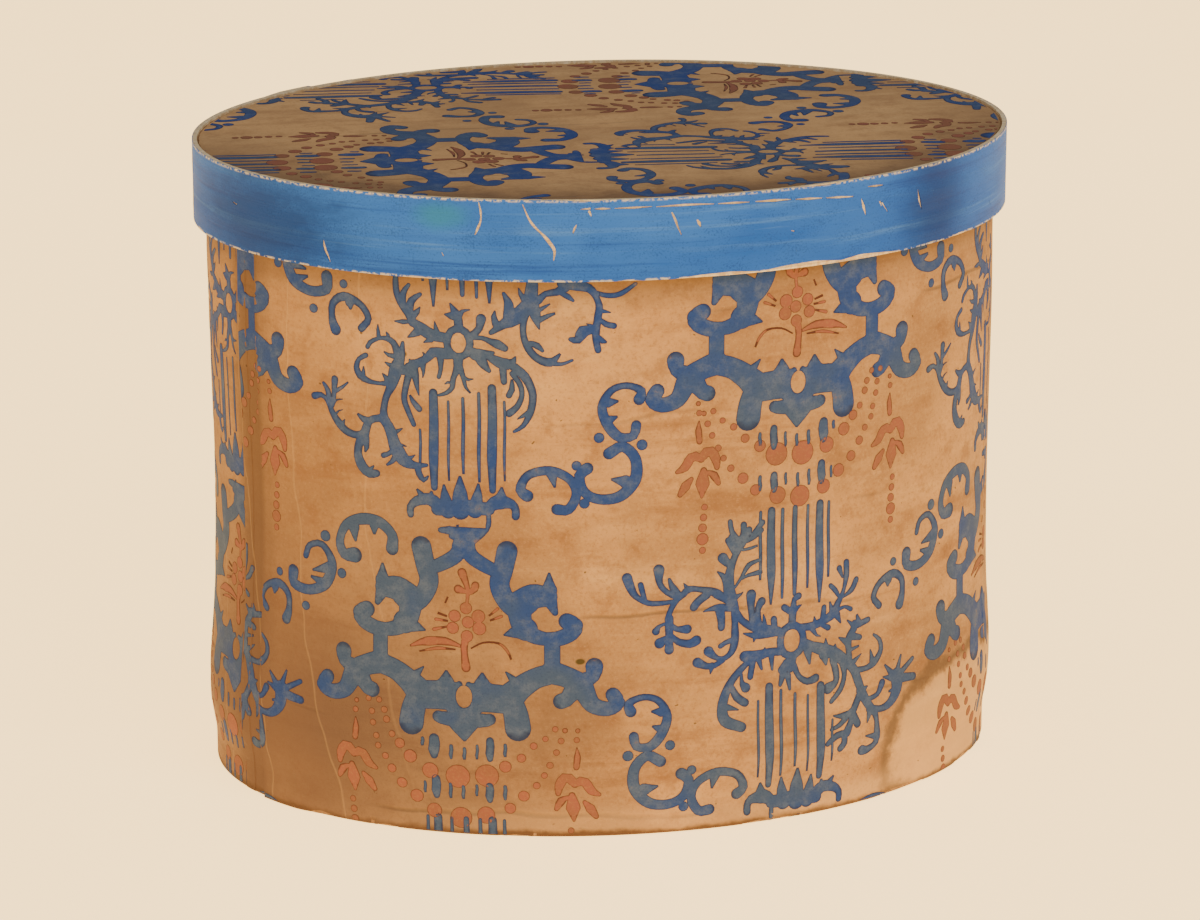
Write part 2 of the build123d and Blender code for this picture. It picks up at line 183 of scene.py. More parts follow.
# the second block's rising branch
rising_branch_2 = (
    "33.5,21.5 36.5,30 37,37 36,43.5 33,51 29,56.5 26,63 / 4.6 6.9 6.1 4.6 3.8 3.5 3.8",
    "38,35 39.5,39 43.5,42.5 / 4.6 3.8 0.8",
    "36,44 38,46.5 40.5,49.5 / 2.3 4.6 5.7",
    "32.5,51.5 34.5,55.5 35.5,60 / 1.5 4.6 4.2",
    "29.5,52.5 25,53 21,54 / 1.5 1.9 1.2",
    "29,57 24,58.5 19,62 / 3.1 3.1 3.1",
    "31.5,57.5 35.5,63 36.5,68.5 / 3.4 3.1 2.8",
    "35,54.5 29.5,60.5 29,66 / 3.4 3.1 3.7",
    "24,60 18.5,66 / 2.8 3.4",
    "34,51.5 37.5,58.5 / 2.8 3.7",
    "33.5,33 30,38 26,44 20.5,46 / 1.5 1.9 3.1 2",
    "30,37 26.5,38.5 19.5,39.5 / 1.5 2.3 3.1",
    "33.5,27.5 30,29 29,30 / 3.8 1.9 0.5",
    "34,21.5 38,26 45,31.5 51.5,33.5 58.5,34.5 61.5,32 65,29.5 68,24.5 70,19 / 3.8 3.1 5.4 3.8 3.1 "
    "3.8 3.8 3.1 3.1",
    "59,34 61.5,38 / 3.8 0.5",
    "49,30.5 53.5,27.5 56,24.5 / 4.6 4.6 4.5",
    "65,31 70,33.5 74,38.5 74.5,46 / 3.8 3.1 3.5 6",
    "65,32.5 68,37.5 69,40.5 / 4.6 3.8 1.8",
    "66,28.5 73,28 80,28.5 86.5,32.5 89.5,38 91,42.5 / 2.3 2.8 3.1 3.1 4.6 5.5",
    "81.5,29.5 83,34.5 84,38.5 / 2.3 3.1 3.2",
    "69,19.5 69,13.5 69,8 69,2.5 / 4.6 4.6 3.8 5.1",
    "69,16.5 65,13.5 59.5,13 / 3.1 3.1 5.1",
    "68,10 64,6.5 58,5 54.5,6.5 / 3.1 3.8 4.6 5.5",
    "70.5,17 74.5,15.5 76,13 / 1.9 1.9 4.3",
    "70.5,9 74,6.5 / 3.1 5.8",
    "33.5,20 33.5,11.5 33.5,4.5 35.5,-2 40.5,-5 45,-3 48,0 / 4.6 3.8 4.6 4.6 3.1 2.8 5.5",
    "40,-5.5 44.5,-8 49,-8 54,-5.5 / 3.1 3.1 3.8 5.5",
    "46,-8 47,-12.5 / 3.8 0.5",
    "35.5,4.5 39,3.5 41.5,2 / 3.1 2.8 2.8",
    "35.5,21.5 42,23 47.5,22.5 51,21.5 / 3.1 4.6 3.2 0.6",
    "42,22 41,16.5 41,12 / 5.4 4.6 4",
    "33.5,20 29,14 22,9.5 15,7.5 9,6 / 4.6 3.8 4.6 6.1 5.4",
    "23.5,12 24.5,21.5 24.5,28 / 3.8 3.8 5.7",
    "20.5,11.5 20.5,20 18.5,23.5 / 4.6 3.1 4.8",
    "17,9.5 17,14 17.5,16.5 / 3.8 2.3 0.6",
    "11,7 11.5,13 / 3.8 3.8",
    "9,6 16.5,5.5 22,5.5 29,7.5 / 4.6 4.6 3.8 0.8",
    "22,6 23,2 / 3.8 0.5",
    "7,-5 14,-4.5 21,-5.5 28,-5 / 4.6 4.6 6.1 6.1",
    "20.5,-6.5 18.5,-13 / 3.8 1.5",
    "13,-5.5 12.5,-14 / 3.8 1.5",
    "17,-3.5 16.5,-1.5 / 2.3 0.5",
    "23.5,-6 32,-13.5 37.5,-21 40.5,-30.5 39,-38.5 30,-43 / 3.1 4 4.6 5.5 6.5 5.5",
    "35.5,-20.5 32.5,-26.5 28,-30 / 3.1 4.6 4.6",
    "30,-13.5 29.5,-19.5 27.5,-22 / 1.5 2.3 5.4",
    "23.5,-8 25,-16.5 / 3.8 3.4",
    "37.5,-31.5 31.5,-33.5 / 3.7 0.8",
)

# leaves round the second block's rosette, and its hanging branch
second_rosette = (
    "1,7.5 0.5,14 0,17.5 / 4.6 4.6 4.6",
    "0,17.5 -0.5,22 -3,23.5 / 3.8 3.1 4",
    "2,16 5.5,18.5 / 3.8 3.8",
    "-0.5,16 -3.5,18 -5,18.5 / 3.8 2.3 0.5",
    "-3.5,6.5 -10.5,6 -17.5,7.5 -24,10.5 -27,15.5 -30.5,21.5 -32.5,29.5 -32.5,37 / 3.8 4.6 4.6 5.4 "
    "3.8 2.3 3.8 3.8",
    "-13,6.5 -12.5,11 / 3.8 0.6",
    "-17.5,7.5 -18.5,15 / 3.8 3.1",
    "-17,5.5 -21,3.5 / 2.3 3.5",
    "-24,10.5 -22,17.5 / 4.6 0.9",
    "-26.5,9.5 -29,4.5 / 4.6 0.8",
    "-27,12 -31.5,13 -35.5,11 / 2.3 1.9 2.8",
    "-28.5,18 -25.5,23 -22.5,26 / 1.5 3.1 2.8",
    "-30.5,18.5 -36,21.5 -39,26.5 / 1.5 3.5 3.5",
    "-30,29.5 -28,34.5 / 1.5 3.5",
    "-10.5,5.5 -14,0.5 -16.5,-0.5 / 3.8 2.3 0.6",
    "-4.5,-2 -11,-5 -18,-8 -24.5,-11 -31.5,-16.5 -37,-22 -39.5,-28 -41.5,-34.5 -39,-40 -36.5,-45 "
    "-35,-50.5 -32.5,-56 / 6.1 5.4 6.9 6.9 6.9 5.4 5.4 5.4 4.6 4.6 3.8 5.4",
    "-8.5,-7 -9.5,-14 / 5.4 1.5",
    "-19.5,-7.5 -19.5,-2 / 4.6 0.6",
    "-18.5,-10.5 -19.5,-16 / 6.9 1.8",
    "-25,-9 -25.5,-6 / 3.8 0.6",
    "-34.5,-16.5 -34,-10.5 -34,-5 -37.5,0 -38,2.5 / 3.8 3.8 4.6 4.6 4.6",
    "-33,-6.5 -27.5,-3 / 4.6 0.8",
    "-36,-11 -41,-10 / 2.3 1.2",
    "-36.5,-4 -41.5,-5.5 / 4.6 3.2",
    "-38,1 -33,5.5 / 3.8 0.8",
    "-40,1.5 -47,3 / 3.8 3.5",
    "-40.5,3.5 -39.5,7.5 / 3.8 1.2",
    "-36.5,-18.5 -42.5,-14.5 / 3.8 0.5",
    "-38.5,-23 -46.5,-23 -52.5,-20 -56,-15 -55,-9.5 -51,-6 / 3.8 3.1 4.6 3.5 3.1 1.7",
    "-50,-21 -48.5,-13.5 / 4.6 0.8",
    "-30,-17 -31,-24 -28.5,-31 -22.5,-37 / 4.6 3.1 3.5 2.8",
    "-23.5,-14.5 -25.5,-20.5 -25.5,-26.5 -20.5,-29.5 / 3.8 4.3 3.8 6.3",
    "-41.5,-34.5 -46.5,-43 -51.5,-49.5 -53,-57.5 -52.5,-65.5 -46.5,-68.5 -43,-68 / 6.1 5.4 4.6 3.2 "
    "4.8 3.8 5.7",
    "-43,-34.5 -46.5,-33 / 4.6 0.6",
    "-46.5,-40.5 -53,-39 -56.5,-33.5 / 3.1 3.1 4.5",
    "-52.5,-62 -45,-60.5 / 4.6 0.8",
    "-47.5,-48.5 -46,-53.5 / 3.8 0.6",
    "-47.5,-46 -56,-47.5 -62.5,-45.5 -67,-39.5 -67.5,-32 / 4.6 3.8 5.4 7.7 9.2",
    "-67,-31.5 -71,-21 / 4.6 1.2",
    "-70.5,-31 -80,-25.5 / 3.8 2.8",
    "-70.5,-34 -80.5,-35.5 / 5.4 4.3",
    "-64,-30.5 -58.5,-24 / 4.6 1.2",
    "-64,-32.5 -57,-30.5 / 4.6 0.8",
    "-64,-39 -61,-39.5 / 2.3 1.2",
    "-35.5,-45 -39.5,-52.5 / 4.6 4.6",
    "-34.5,-46 -28,-46 -23.5,-45 / 4.6 3.5 0.8",
    "-31.5,-48 -27.5,-51 -22.5,-52.5 / 3.8 3.1 2",
    "-31.5,-56 -26,-56.5 -20.5,-60 / 3.8 4.3 3.2",
    "-31,-57 -31,-61.5 -28.5,-64 / 3.8 4.3 4",
    "0.5,-6 1.5,-11 2,-15 / 6.1 6.1 4.6",
    "3.5,-12.5 7,-15 / 6.9 4.6",
    "6,-16.5 8,-23 / 4.6 2.2",
    "3.5,-18.5 2.5,-26 / 3.8 1.8",
    "0,-13.5 -3,-20 -8,-23.5 -13,-22.5 / 3.8 3.1 3.8 4.8",
)

# crown over the cartouche
crown = (
    "-2.5,-88.5 -2.5,-78.5 -2.5,-70 / 9.8 7.7 1.4",
    "-9,-89 -10.5,-81 -11,-75 / 8.4 5.6 1.1",
    "5,-88 6.5,-80 7,-73.5 / 8.4 5.6 1.1",
    "-14.5,-88.5 -1,-86.5 12,-87 / 7 8.4 7",
    "-13,-87.5 -18.5,-83.5 -25.5,-85 -29,-88.5 -29,-92.5 / 7 7 5.9 4.5 3.6",
    "-21,-84 -25.5,-78.5 / 5.6 1.1",
    "-18,-83 -17.5,-79 / 4.8 1.1",
    "10.5,-87.5 15,-84 18.5,-83 24,-84 26,-87 26,-90.5 / 4.2 7 8.4 5.9 4.2 4.2",
    "18.5,-81.5 19,-75 / 7 1.1",
    "12,-88.5 12,-95.5 9,-100 3,-104 / 2.5 2.8 3.4 5.6",
    "-13,-99.5 -1,-99 9,-97 / 3.1 7 4.2",
    "-7.5,-102.5 -1,-103.5 4,-102 / 2.8 5.6 4.2",
)

# left half of the cartouche
cartouche_half = (
    "-1,-102.5 -1,-108 / 9.8 12.6",
    "-2,-105.5 -5,-112.5 -13.5,-118 -20,-120.5 / 8.4 8.1 7.6 7",
    "-23.5,-109 -21.5,-118.5 -19.5,-127 -23,-135.5 -30,-140.5 / 10.9 10.5 10.5 10.1 12.6",
    "-30,-137.5 -37,-133 -44,-133 / 15.4 14 10.7",
    "-45,-129.5 -45,-120 / 8.4 1.1",
    "-45,-134 -48,-141.5 / 8.4 3.4",
    "-29.5,-140.5 -31.5,-149 -38.5,-154.5 -48.5,-155.5 -56,-152.5 -58,-148.5 -54,-146 / 12.6 11.2 "
    "8.7 7.3 8.4 8.7 8.7",
    "-33,-150.5 -21.5,-154 / 12.6 0.8",
    "-46.5,-156 -46.5,-171 / 8.4 8.4",
    "-46.5,-173.5 -55,-176.5 -61.5,-181.5 -67,-191 -75,-193.5 -80,-190.5 -77.5,-186 / 12.6 11.2 "
    "12.6 9.8 8.4 7.8 7.8",
    "-61,-179 -67,-175.5 -68,-170.5 / 9.8 7.8 9.3",
    "-58,-182.5 -53.5,-188 -51,-189 / 11.2 8.4 8.4",
    "-46.5,-174 -37.5,-177 -29,-183 -23.5,-188 -15.5,-188 -6,-188 / 11.2 11.2 12.6 15.4 15.4 15.4",
    "-29,-180.5 -22.5,-173.5 / 7 0.8",
    "-25.5,-188 -28,-197 -29,-204 / 11.2 12.9 13.5",
    "-12,-187 -10.5,-181.5 -10.5,-174.5 / 15.4 9.8 1.1",
    "-9,-187 -3.5,-181.5 / 8.4 3.4",
    "-9.5,-188 -8,-193.5 -1,-196 / 7 7 7",
    "-1,-193 -1,-203 -0.5,-212 / 16.8 18.2 1.1",
    "-4.5,-200.5 -13,-200 -14.5,-199.5 / 8.4 7.8 6.4",
)

# red flowers in the cartouche
bouquet = (
    "0.5,-138 1,-133 0.5,-128.5 -2,-121.5 / 1.7 2 3.4 4.8",
    "0.5,-132 -4,-130.5 / 1.7 4.8",
    "1,-133 4.5,-130 5,-128 / 1.7 3.9 4.2",
    "-0.5,-158 -1,-163 0,-172.5 / 3.9 3.6 4.8",
    "-1.5,-161.5 -11,-159 -22,-160 -30,-163 / 1.1 4.5 5 1.1",
    "-5.5,-163 -15,-163 -25,-165.5 / 0.8 2 0.8",
    "2.5,-162 9,-158.5 17,-158.5 21.5,-162.5 23.5,-167 / 0.8 1 1.1 1.7 1.1",
    "-9.5,-148 -16,-147.5 / 1.1 1.7",
    "-10,-151 -17,-153 / 1.1 2",
    "-10,-145.5 -15,-144 / 1.1 1.4",
    "12,-144 16.5,-140 / 1.1 1.7",
    "12.5,-146.5 18.5,-144 / 1.1 1.7",
    "-11,-138.5 -9.5,-135 / 1 1",
)

# scrolls from the crown down to the next column
falling_scrolls = (
    "-61,-118 -67.5,-118 -70,-111.5 -66,-102.5 -56.5,-98 -46.5,-98.5 -39.5,-104.5 -39.5,-112 / 8.4 "
    "5.6 4.8 5.6 6.4 6.2 5.6 7",
    "-61.5,-103 -60.5,-110 / 7 1.7",
    "-49.5,-100.5 -49.5,-105.5 / 5.6 1.4",
    "-91,-123 -88.5,-117 -81,-115.5 -75,-124.5 -79,-136 -89,-141 -98.5,-139 -99,-132.5 / 3.4 3.6 "
    "4.2 6.2 6.4 5.6 5.6 7",
    "-77,-127.5 -87,-130 / 7 1.1",
    "-80.5,-136 -88,-133.5 / 5.6 1.4",
    "-119,-157 -123,-151.5 -118.5,-144.5 -109,-141.5 -102.5,-146 -102,-154 -104,-159.5 / 4.2 3.9 "
    "3.9 5 4.5 3.9 6.2",
    "-112.5,-144 -113,-148 / 5.6 1.1",
)

# scrolls from the crown up to the next column
rising_scrolls = (
    "32,-79.5 28.5,-76 32.5,-68.5 43.5,-66 53.5,-70.5 57,-78.5 53,-86.5 47,-86.5 / 6.4 4.8 4.8 5 "
    "4.8 5 5.3 5.9",
    "44.5,-67.5 46,-75 / 6.2 1.1",
    "73.5,-57.5 80.5,-54 87,-60.5 87,-71.5 79.5,-80 69,-81.5 61,-77.5 58.5,-69 62.5,-65 / 6.2 5.6 "
    "5.9 6.4 6.2 5.6 5.3 5.3 6.4",
    "82,-72.5 74.5,-71 / 7 1.1",
    "89,-29.5 90,-25 82.5,-22 74.5,-24.5 70,-33 73,-42.5 79,-49 86,-48.5 87.5,-43 / 6.2 3.9 3.6 4.2 "
    "5 5.6 5.6 4.8 5.3",
    "73,-30.5 78.5,-30 / 5.6 1.1",
    "73,-40 78,-38 / 5.6 1.1",
)

# dots are x,y,radius
flower_dots = "1,-148,2.8 -6,-145,2.8 6.5,-144.5,3.1 -7,-151.5,2.8 7,-151,3.1 0.5,-155.5,2.8 0,-140.5,2.8"
falling_dots = "-79,-110.5,3.1 -109,-135,2.4 -69,-129,2.8 -91,-150,2.5"
rising_dots = "57,-63.5,2.65 61,-83.5,2.8 90.5,-53.5,2.95 68.5,-49,2.8"

# beads of the swags and the strings under the tassels
upper_swag = ("-47,-194,1.4 -44,-199,1.6 -42.7,-204,1.7 -39.6,-211.5,1.6 -35.3,-216,2.4 -29.6,-222.5,3.1 "
              "-18.9,-229.3,3.7 -4.3,-231.4,5.5 10.9,-230.2,5.3 20.4,-224.8,2.8 28.7,-219.9,2.1 "
              "35,-213.2,1.7 "
              "41,-209.3,1.4 46,-204,1.4 51,-204.8,1.3")
lower_swag = ("-53,-194,1.4 -51,-200.6,1.5 -50.3,-206.6,1.5 -48.4,-213.5,1.5 -47.4,-218.8,1.5 "
              "-43.4,-224,1.6 "
              "-39.9,-230.4,2.1 -34.6,-237.8,2.5 -26.7,-244.2,3.1 -17.4,-251.4,3.4 -3.1,-254.4,4.9 "
              "10,-252.3,4 "
              "22.6,-248,2.6 29.7,-241,2.6 36.4,-235,1.7 40.4,-229.3,1.5 43.3,-223.7,1.6 "
              "46.6,-216.7,1.5 49,-210.4,1.5")
tassel_beads = "1.5,9,1.2 1,4,1.4 -2,-46,1.5 -1.5,-51.5,1.7 -1,-57,2 -1,-63,2.8 -1,-69,1.6"
tassel_strokes = (
    "1,0 1.3,-5 0.8,-11 / 0.6 3.8 3.2",
    "-8.6,-25.5 -8,-21 -5.5,-16.8 -2.6,-17 0,-20 2.8,-18.6 5.4,-19.4 8.6,-24.2 12.6,-26.4 / 3 5 5.6 "
    "5.4 4.6 5.2 5.2 4.8 2.2",
    "-3.5,-27.5 -7,-29.5 -9.5,-34 / 2 5 2.6",
    "-1.5,-26.5 -1,-32 -0.5,-40.5 / 3.6 8 1.6",
    "5,-30.5 8,-34 11,-38.5 / 2.4 5.4 3",
)
first_tassels = ((-61.4, -205), (56.0, -214))
second_tassels = ((-61.4, -203), (52.5, -203))
second_swag_rise = 5.4
bead_fullness = 1.18    # how much the wet colour spreads round a bead

# stripes are x,width,top,foot
short_stripes = ("-23.2,1.6,-47,-70 -16,5.2,-27,-77 -8.2,1.6,-31,-73 -0.6,2,-29,-69 7.6,2,-26,-73 "
                 "14.3,5,-23,-77 "
                 "20.6,1.6,-30,-72")
long_stripes = ("-21,2,71.6,31 -15.5,5,71.6,18 -8.2,2,71.6,27 -0.5,3.4,71.6,25 6.8,2.3,71.6,24 "
                "13.3,5,71.6,21 "
                "19.5,2,71.6,35")
bars = ("-22.9,2,-212,-216 -16.7,6,-211.5,-220.5 -7.7,2.2,-215,-221.5 -0.7,2,-216,-222 5.9,1.7,-214,-221.5 "
        "12.6,4.5,-211,-221 20.4,2,-213,-219.5 -22,1.7,-236,-242 -16,5,-233.5,-243 -8.4,2,-236,-244 "
        "-1.7,2,-237,-244 5.4,1.7,-236,-242 12.1,4.5,-236,-244 20.1,2.2,-236,-243")


def numbers(text):
    """Rows of numbers from a text of comma-joined groups."""
    return np.array([[float(n) for n in item.split(",")] for item in text.split()])


def wobble(along, seed, lengths=(31.0, 12.0, 5.0, 2.1)):
    """Fixed uneven line between about -1 and 1: a sum of waves of those lengths in millimetres."""
    phases = np.random.default_rng(seed).uniform(0, 2 * pi, len(lengths))
    total = sum(np.sin(2 * pi * along / (length * mm) + phase) for length, phase in zip(lengths, phases))
    return total / len(lengths) ** 0.5


# ---- flat drawings ------------------------------------------------------------------------
def spine(points, gap):
    """Points about gap apart on a smooth curve through the given ones, and their shares of its length."""
    ends = np.vstack([2 * points[0] - points[1], points, 2 * points[-1] - points[-2]])
    line = []
    for a, b, c, d in zip(ends, ends[1:], ends[2:], ends[3:]):
        count = max(1, round(float(np.linalg.norm(c - b)) / gap))
        for t in np.arange(count) / count:
            bend, twist = 2 * a - 5 * b + 4 * c - d, 3 * b - a - 3 * c + d
            line.append(b + (c - a) * t / 2 + bend * t * t / 2 + twist * t ** 3 / 2)
    line = np.vstack([line, points[-1]])
    walked = np.concatenate([[0], np.cumsum(np.linalg.norm(np.diff(line, axis=0), axis=1))])
    return line, walked / walked[-1]


def turns_left(outline):
    """Whether an outline is convex and goes round to the left."""
    ahead = np.roll(outline, -1, axis=0) - outline
    after = np.roll(ahead, -1, axis=0)
    return bool(np.all(ahead[:, 0] * after[:, 1] - ahead[:, 1] * after[:, 0] > 1e-6))


class Drawing:
    """Overlapping outlines in millimetres that become one flat mesh."""

    def __init__(self):
        self.points, self.outlines, self.cuts = [], [], set()

    def outline(self, corners, cut=False):
        corners = [tuple(map(float, c)) for c in corners]
        area = sum(a[0] * b[1] - a[1] * b[0] for a, b in zip(corners, corners[1:] + corners[:1]))
        if area < 0:
            corners.reverse()
        start = len(self.points)
        self.points.extend(corners)
        if cut:
            self.cuts.add(len(self.outlines))
        self.outlines.append(list(range(start, len(self.points))))

    def disc(self, x, y, radius, tall=None, cut=False, heart=True):
        tall = tall or radius
        sides = 8 if radius < 1.6 else 12 if radius < 4 else 18
        turn = np.arange(sides) * 2 * pi / sides + 0.3
        self.outline(np.stack([x + radius * np.cos(turn), y + tall * np.sin(turn)], axis=1), cut)
        if heart:
            self.points.append((x, y))
            if radius > 1.6:
                inner = turn[::2] + 0.2
                self.points.extend(zip(x + (radius - 0.8) * np.cos(inner), y + (tall - 0.8) * np.sin(inner)))

    def stroke(self, text, mirror=None, shift=(0, 0), gap=2.3, cut=False):
        """One brush-like line; mirror is the x that it is turned over about."""
        spine_text, width_text = text.split(" / ")
        points = numbers(spine_text) + shift
        widths = [float(w) for w in width_text.split()]
        if mirror is not None:
            points[:, 0] = 2 * mirror - points[:, 0]
        line, share = spine(points, gap)
        half = np.interp(share, np.linspace(0, 1, len(widths)), widths) / 2
        ahead = np.gradient(line, axis=0)
        ahead /= np.linalg.norm(ahead, axis=1)[:, None] + 1e-9
        side = np.stack([-ahead[:, 1], ahead[:, 0]], axis=1)
        left, right = line + side * half[:, None], line - side * half[:, None]
        for i in range(len(line) - 1):
            quad = np.array([left[i], right[i], right[i + 1], left[i + 1]])
            if turns_left(quad):
                self.outline(quad, cut)
            else:
                self.disc(*line[i], half[i], cut=cut, heart=False)
                self.disc(*line[i + 1], half[i + 1], cut=cut, heart=False)
        for end in (0, -1):
            if half[end] > 0.7:
                self.disc(*line[end], half[end], cut=cut, heart=False)
        if not cut:
            self.points.extend(map(tuple, line[half > 0.7]))
            for way in (-1, 1):
                rail = line + way * side * (half - 0.9)[:, None]
                self.points.extend(map(tuple, rail[half > 2.4]))

    def stripe(self, x, width, top, foot, pointed=False):
        """Upright stripe with uneven edges and a tapered foot."""
        tip = width * (0.25 if pointed else 0.7)
        self.stroke(f"{x},{top} {x + 0.2},{top * 0.7 + foot * 0.3} "
                    f"{x - 0.2},{top * 0.3 + foot * 0.7} {x},{foot}"
                    f" / {width * 0.9} {width} {width * 1.05} {tip}", gap=4.5)

    def mesh(self, edge=0.8):
        """Points, triangles, and how near each point is to the edge: 1 on it, 0 further than edge "
        "inside."""
        points, _, triangles, _, _, sources = geometry.delaunay_2d_cdt(
            [Vector(p) for p in self.points], [], self.outlines, 0, 0.01, True)
        points = np.array([tuple(p) for p in points])
        kept = [t for t, source in zip(triangles, sources) if source and not self.cuts.intersection(source)]
        kept = np.array([t for t in kept if len(t) == 3])
        used, kept = np.unique(kept, return_inverse=True)
        kept = kept.reshape(-1, 3)
        points = points[used]
        a, b, c = (points[kept[:, i]] for i in range(3))
        turned = (b[:, 0] - a[:, 0]) * (c[:, 1] - a[:, 1]) - (b[:, 1] - a[:, 1]) * (c[:, 0] - a[:, 0]) < 0
        kept[turned] = kept[turned][:, ::-1]
        border = open_edges(kept)
        samples = []
        for start, end in border:
            count = max(1, int(np.linalg.norm(points[end] - points[start]) / 0.5))
            for t in np.arange(count) / count:
                samples.append(points[start] * (1 - t) + points[end] * t)
        tree = kdtree.KDTree(len(samples))
        for i, p in enumerate(samples):
            tree.insert((p[0], p[1], 0), i)
        tree.balance()
        reach = np.array([tree.find((p[0], p[1], 0))[2] for p in points])
        return points, kept, 1 - np.clip(reach / edge, 0, 1)


def open_edges(triangles):
    """Edges that only one triangle has, in that triangle's direction."""
    edges = np.vstack([triangles[:, [0, 1]], triangles[:, [1, 2]], triangles[:, [2, 0]]])
    known = {(a, b) for a, b in edges.tolist()}
    return np.array([(a, b) for a, b in edges.tolist() if (b, a) not in known])


crown_openings = ((-14, -13.3), (-12, -9.3), (-7.9, -4.8), (-3.4, 10.5))


def common_blue(drawing):
    """What both blocks share: crown, cartouche, scrolls, stripes and bars."""
    for line in crown:
        drawing.stroke(line)
    for line in cartouche_half:
        drawing.stroke(line)
        if any(abs(float(p.split(",")[0]) + 1) > 2 for p in line.split(" / ")[0].split()):
            drawing.stroke(line, mirror=-1)
    for line in falling_scrolls + rising_scrolls:
        drawing.stroke(line)
    for dot in np.vstack([numbers(falling_dots), numbers(rising_dots)]):
        drawing.disc(*dot)
    for x, width, top, foot in np.vstack([numbers(short_stripes), numbers(bars)]):
        drawing.stripe(x, width, top, foot)
    for x, width, top, foot in numbers(long_stripes):
        drawing.stripe(x, width, top, foot, pointed=width > 4.5)
    for left, right in crown_openings:
        drawing.outline([(left, -97.2), (right, -97.2), (right, -94), (left, -94)], cut=True)
    drawing.disc(-1, -188, 4.3, 6, cut=True, heart=False)


def ring(drawing, x, y, wide, tall, width):
    """An oval line round a middle."""
    turn = np.linspace(0, 2 * pi, 15)
    line = " ".join(f"{x + wide * cos(t):.2f},{y + tall * sin(t):.2f}" for t in turn)
    drawing.stroke(f"{line} / {width} {width}")


def first_blue():
    """The first block's blue."""
    drawing = Drawing()
    for line in hanging_branch + first_fronds + first_rosette + rising_branch:
        drawing.stroke(line)
    ring(drawing, -2.7, 0, 6.0, 7.5, 4.0)
    drawing.disc(-2.7, 0, 3.9, 5.3, cut=True, heart=False)
    common_blue(drawing)
    return drawing


def second_blue():
    """The second block's blue, drawn as it is before it is turned over."""
    drawing = Drawing()
    for line in rising_branch_2 + second_rosette:
        drawing.stroke(line)
    ring(drawing, 1, 0, 6.8, 8.4, 4.2)
    drawing.disc(1, 0, 4.6, 6.1, cut=True, heart=False)
    common_blue(drawing)
    return drawing


def red_print(places, swag_rise=0.0):
    """Bouquet, swags of beads and two tassels; the second block's swags and tassels hang a little "
    "higher."""
    drawing = Drawing()
    for line in bouquet:
        drawing.stroke(line)
    for x, y, radius in numbers(flower_dots):
        drawing.disc(x, y, radius * bead_fullness)
    for x, y, radius in np.vstack([numbers(upper_swag), numbers(lower_swag)]):
        drawing.disc(x, y + swag_rise, radius * bead_fullness)
    for x, y in places:
        for line in tassel_strokes:
            drawing.stroke(line, shift=(x, y))
        for bead_x, bead_y, radius in numbers(tassel_beads):
            drawing.disc(x + bead_x, y + bead_y, radius * bead_fullness)
    return drawing


# ---- meshes -------------------------------------------------------------------------------
def mesh_object(name, points, faces, carry=None, flat=None):
    """Object from arrays, with number attributes and the flat layout kept as a UV map in metres."""
    mesh = bpy.data.meshes.new(name)
    mesh.from_pydata([tuple(p) for p in points], [], [tuple(f) for f in faces])
    for key, values in (carry or {}).items():
        kept = mesh.attributes.new(key, "FLOAT", "POINT").data
        kept.foreach_set("value", np.asarray(values, dtype=np.float32))
    if flat is not None:
        layout = mesh.uv_layers.new(name="flat")
        corner = np.empty(len(mesh.loops), dtype=np.int32)
        mesh.loops.foreach_get("vertex_index", corner)
        layout.data.foreach_set("uv", np.asarray(flat, dtype=np.float32)[corner].ravel())
    mesh.validate()
    item = bpy.data.objects.new(name, mesh)
    bpy.context.scene.collection.objects.link(item)
    return item


def arrays(item):
    """Points and triangles of a mesh object."""
    mesh = item.data
    mesh.calc_loop_triangles()
    points = np.empty(len(mesh.vertices) * 3, dtype=np.float64)
    mesh.vertices.foreach_get("co", points)
    triangles = np.empty(len(mesh.loop_triangles) * 3, dtype=np.int32)
    mesh.loop_triangles.foreach_get("vertices", triangles)
    return points.reshape(-1, 3), triangles.reshape(-1, 3)


def closed_sheet(name, flat, triangles, low, high, carry=None):
    """Closed solid between the (round, up, out) surfaces low and high of one flat layout."""
    n = len(flat)
    border = open_edges(triangles)
    faces = [tuple(t) for t in triangles + n] + [tuple(t[::-1]) for t in triangles]
    faces += [(a, b, b + n, a + n) for a, b in border]
    both = {key: np.concatenate([values, values]) for key, values in (carry or {}).items()}
    return mesh_object(name, np.vstack([low, high]), faces, both, np.vstack([flat, flat]))


def finished(item, tree, values):
    """Plain mesh of the object with the node tree applied; values are the tree's inputs by name."""
    modifier = item.modifiers.new("build", "NODES")
    modifier.node_group = tree
    sockets = {s.name: s.identifier for s in tree.interface.items_tree if s.in_out == "INPUT"}
    for key, value in values.items():
        modifier[sockets[key]] = value
    bpy.context.view_layer.update()
    graph = bpy.context.evaluated_depsgraph_get()
    mesh = bpy.data.meshes.new_from_object(item.evaluated_get(graph))
    made = bpy.data.objects.new(item.name, mesh)
    name = item.name
    bpy.data.objects.remove(item)
    made.name = mesh.name = name
    bpy.context.scene.collection.objects.link(made)
    return made


# ---- node trees ---------------------------------------------------------------------------
class Field:
    """One value in a node tree; arithmetic on it adds the nodes."""

    def __init__(self, graph, socket):
        self.graph, self.socket = graph, socket

    def __add__(self, other):
        return self.graph.math("ADD", self, other)

    def __sub__(self, other):
        return self.graph.math("SUBTRACT", self, other)

    def __rsub__(self, other):
        return self.graph.math("SUBTRACT", other, self)

    def __mul__(self, other):
        return self.graph.math("MULTIPLY", self, other)

    def __truediv__(self, other):
        return self.graph.math("DIVIDE", self, other)

    __radd__, __rmul__ = __add__, __mul__


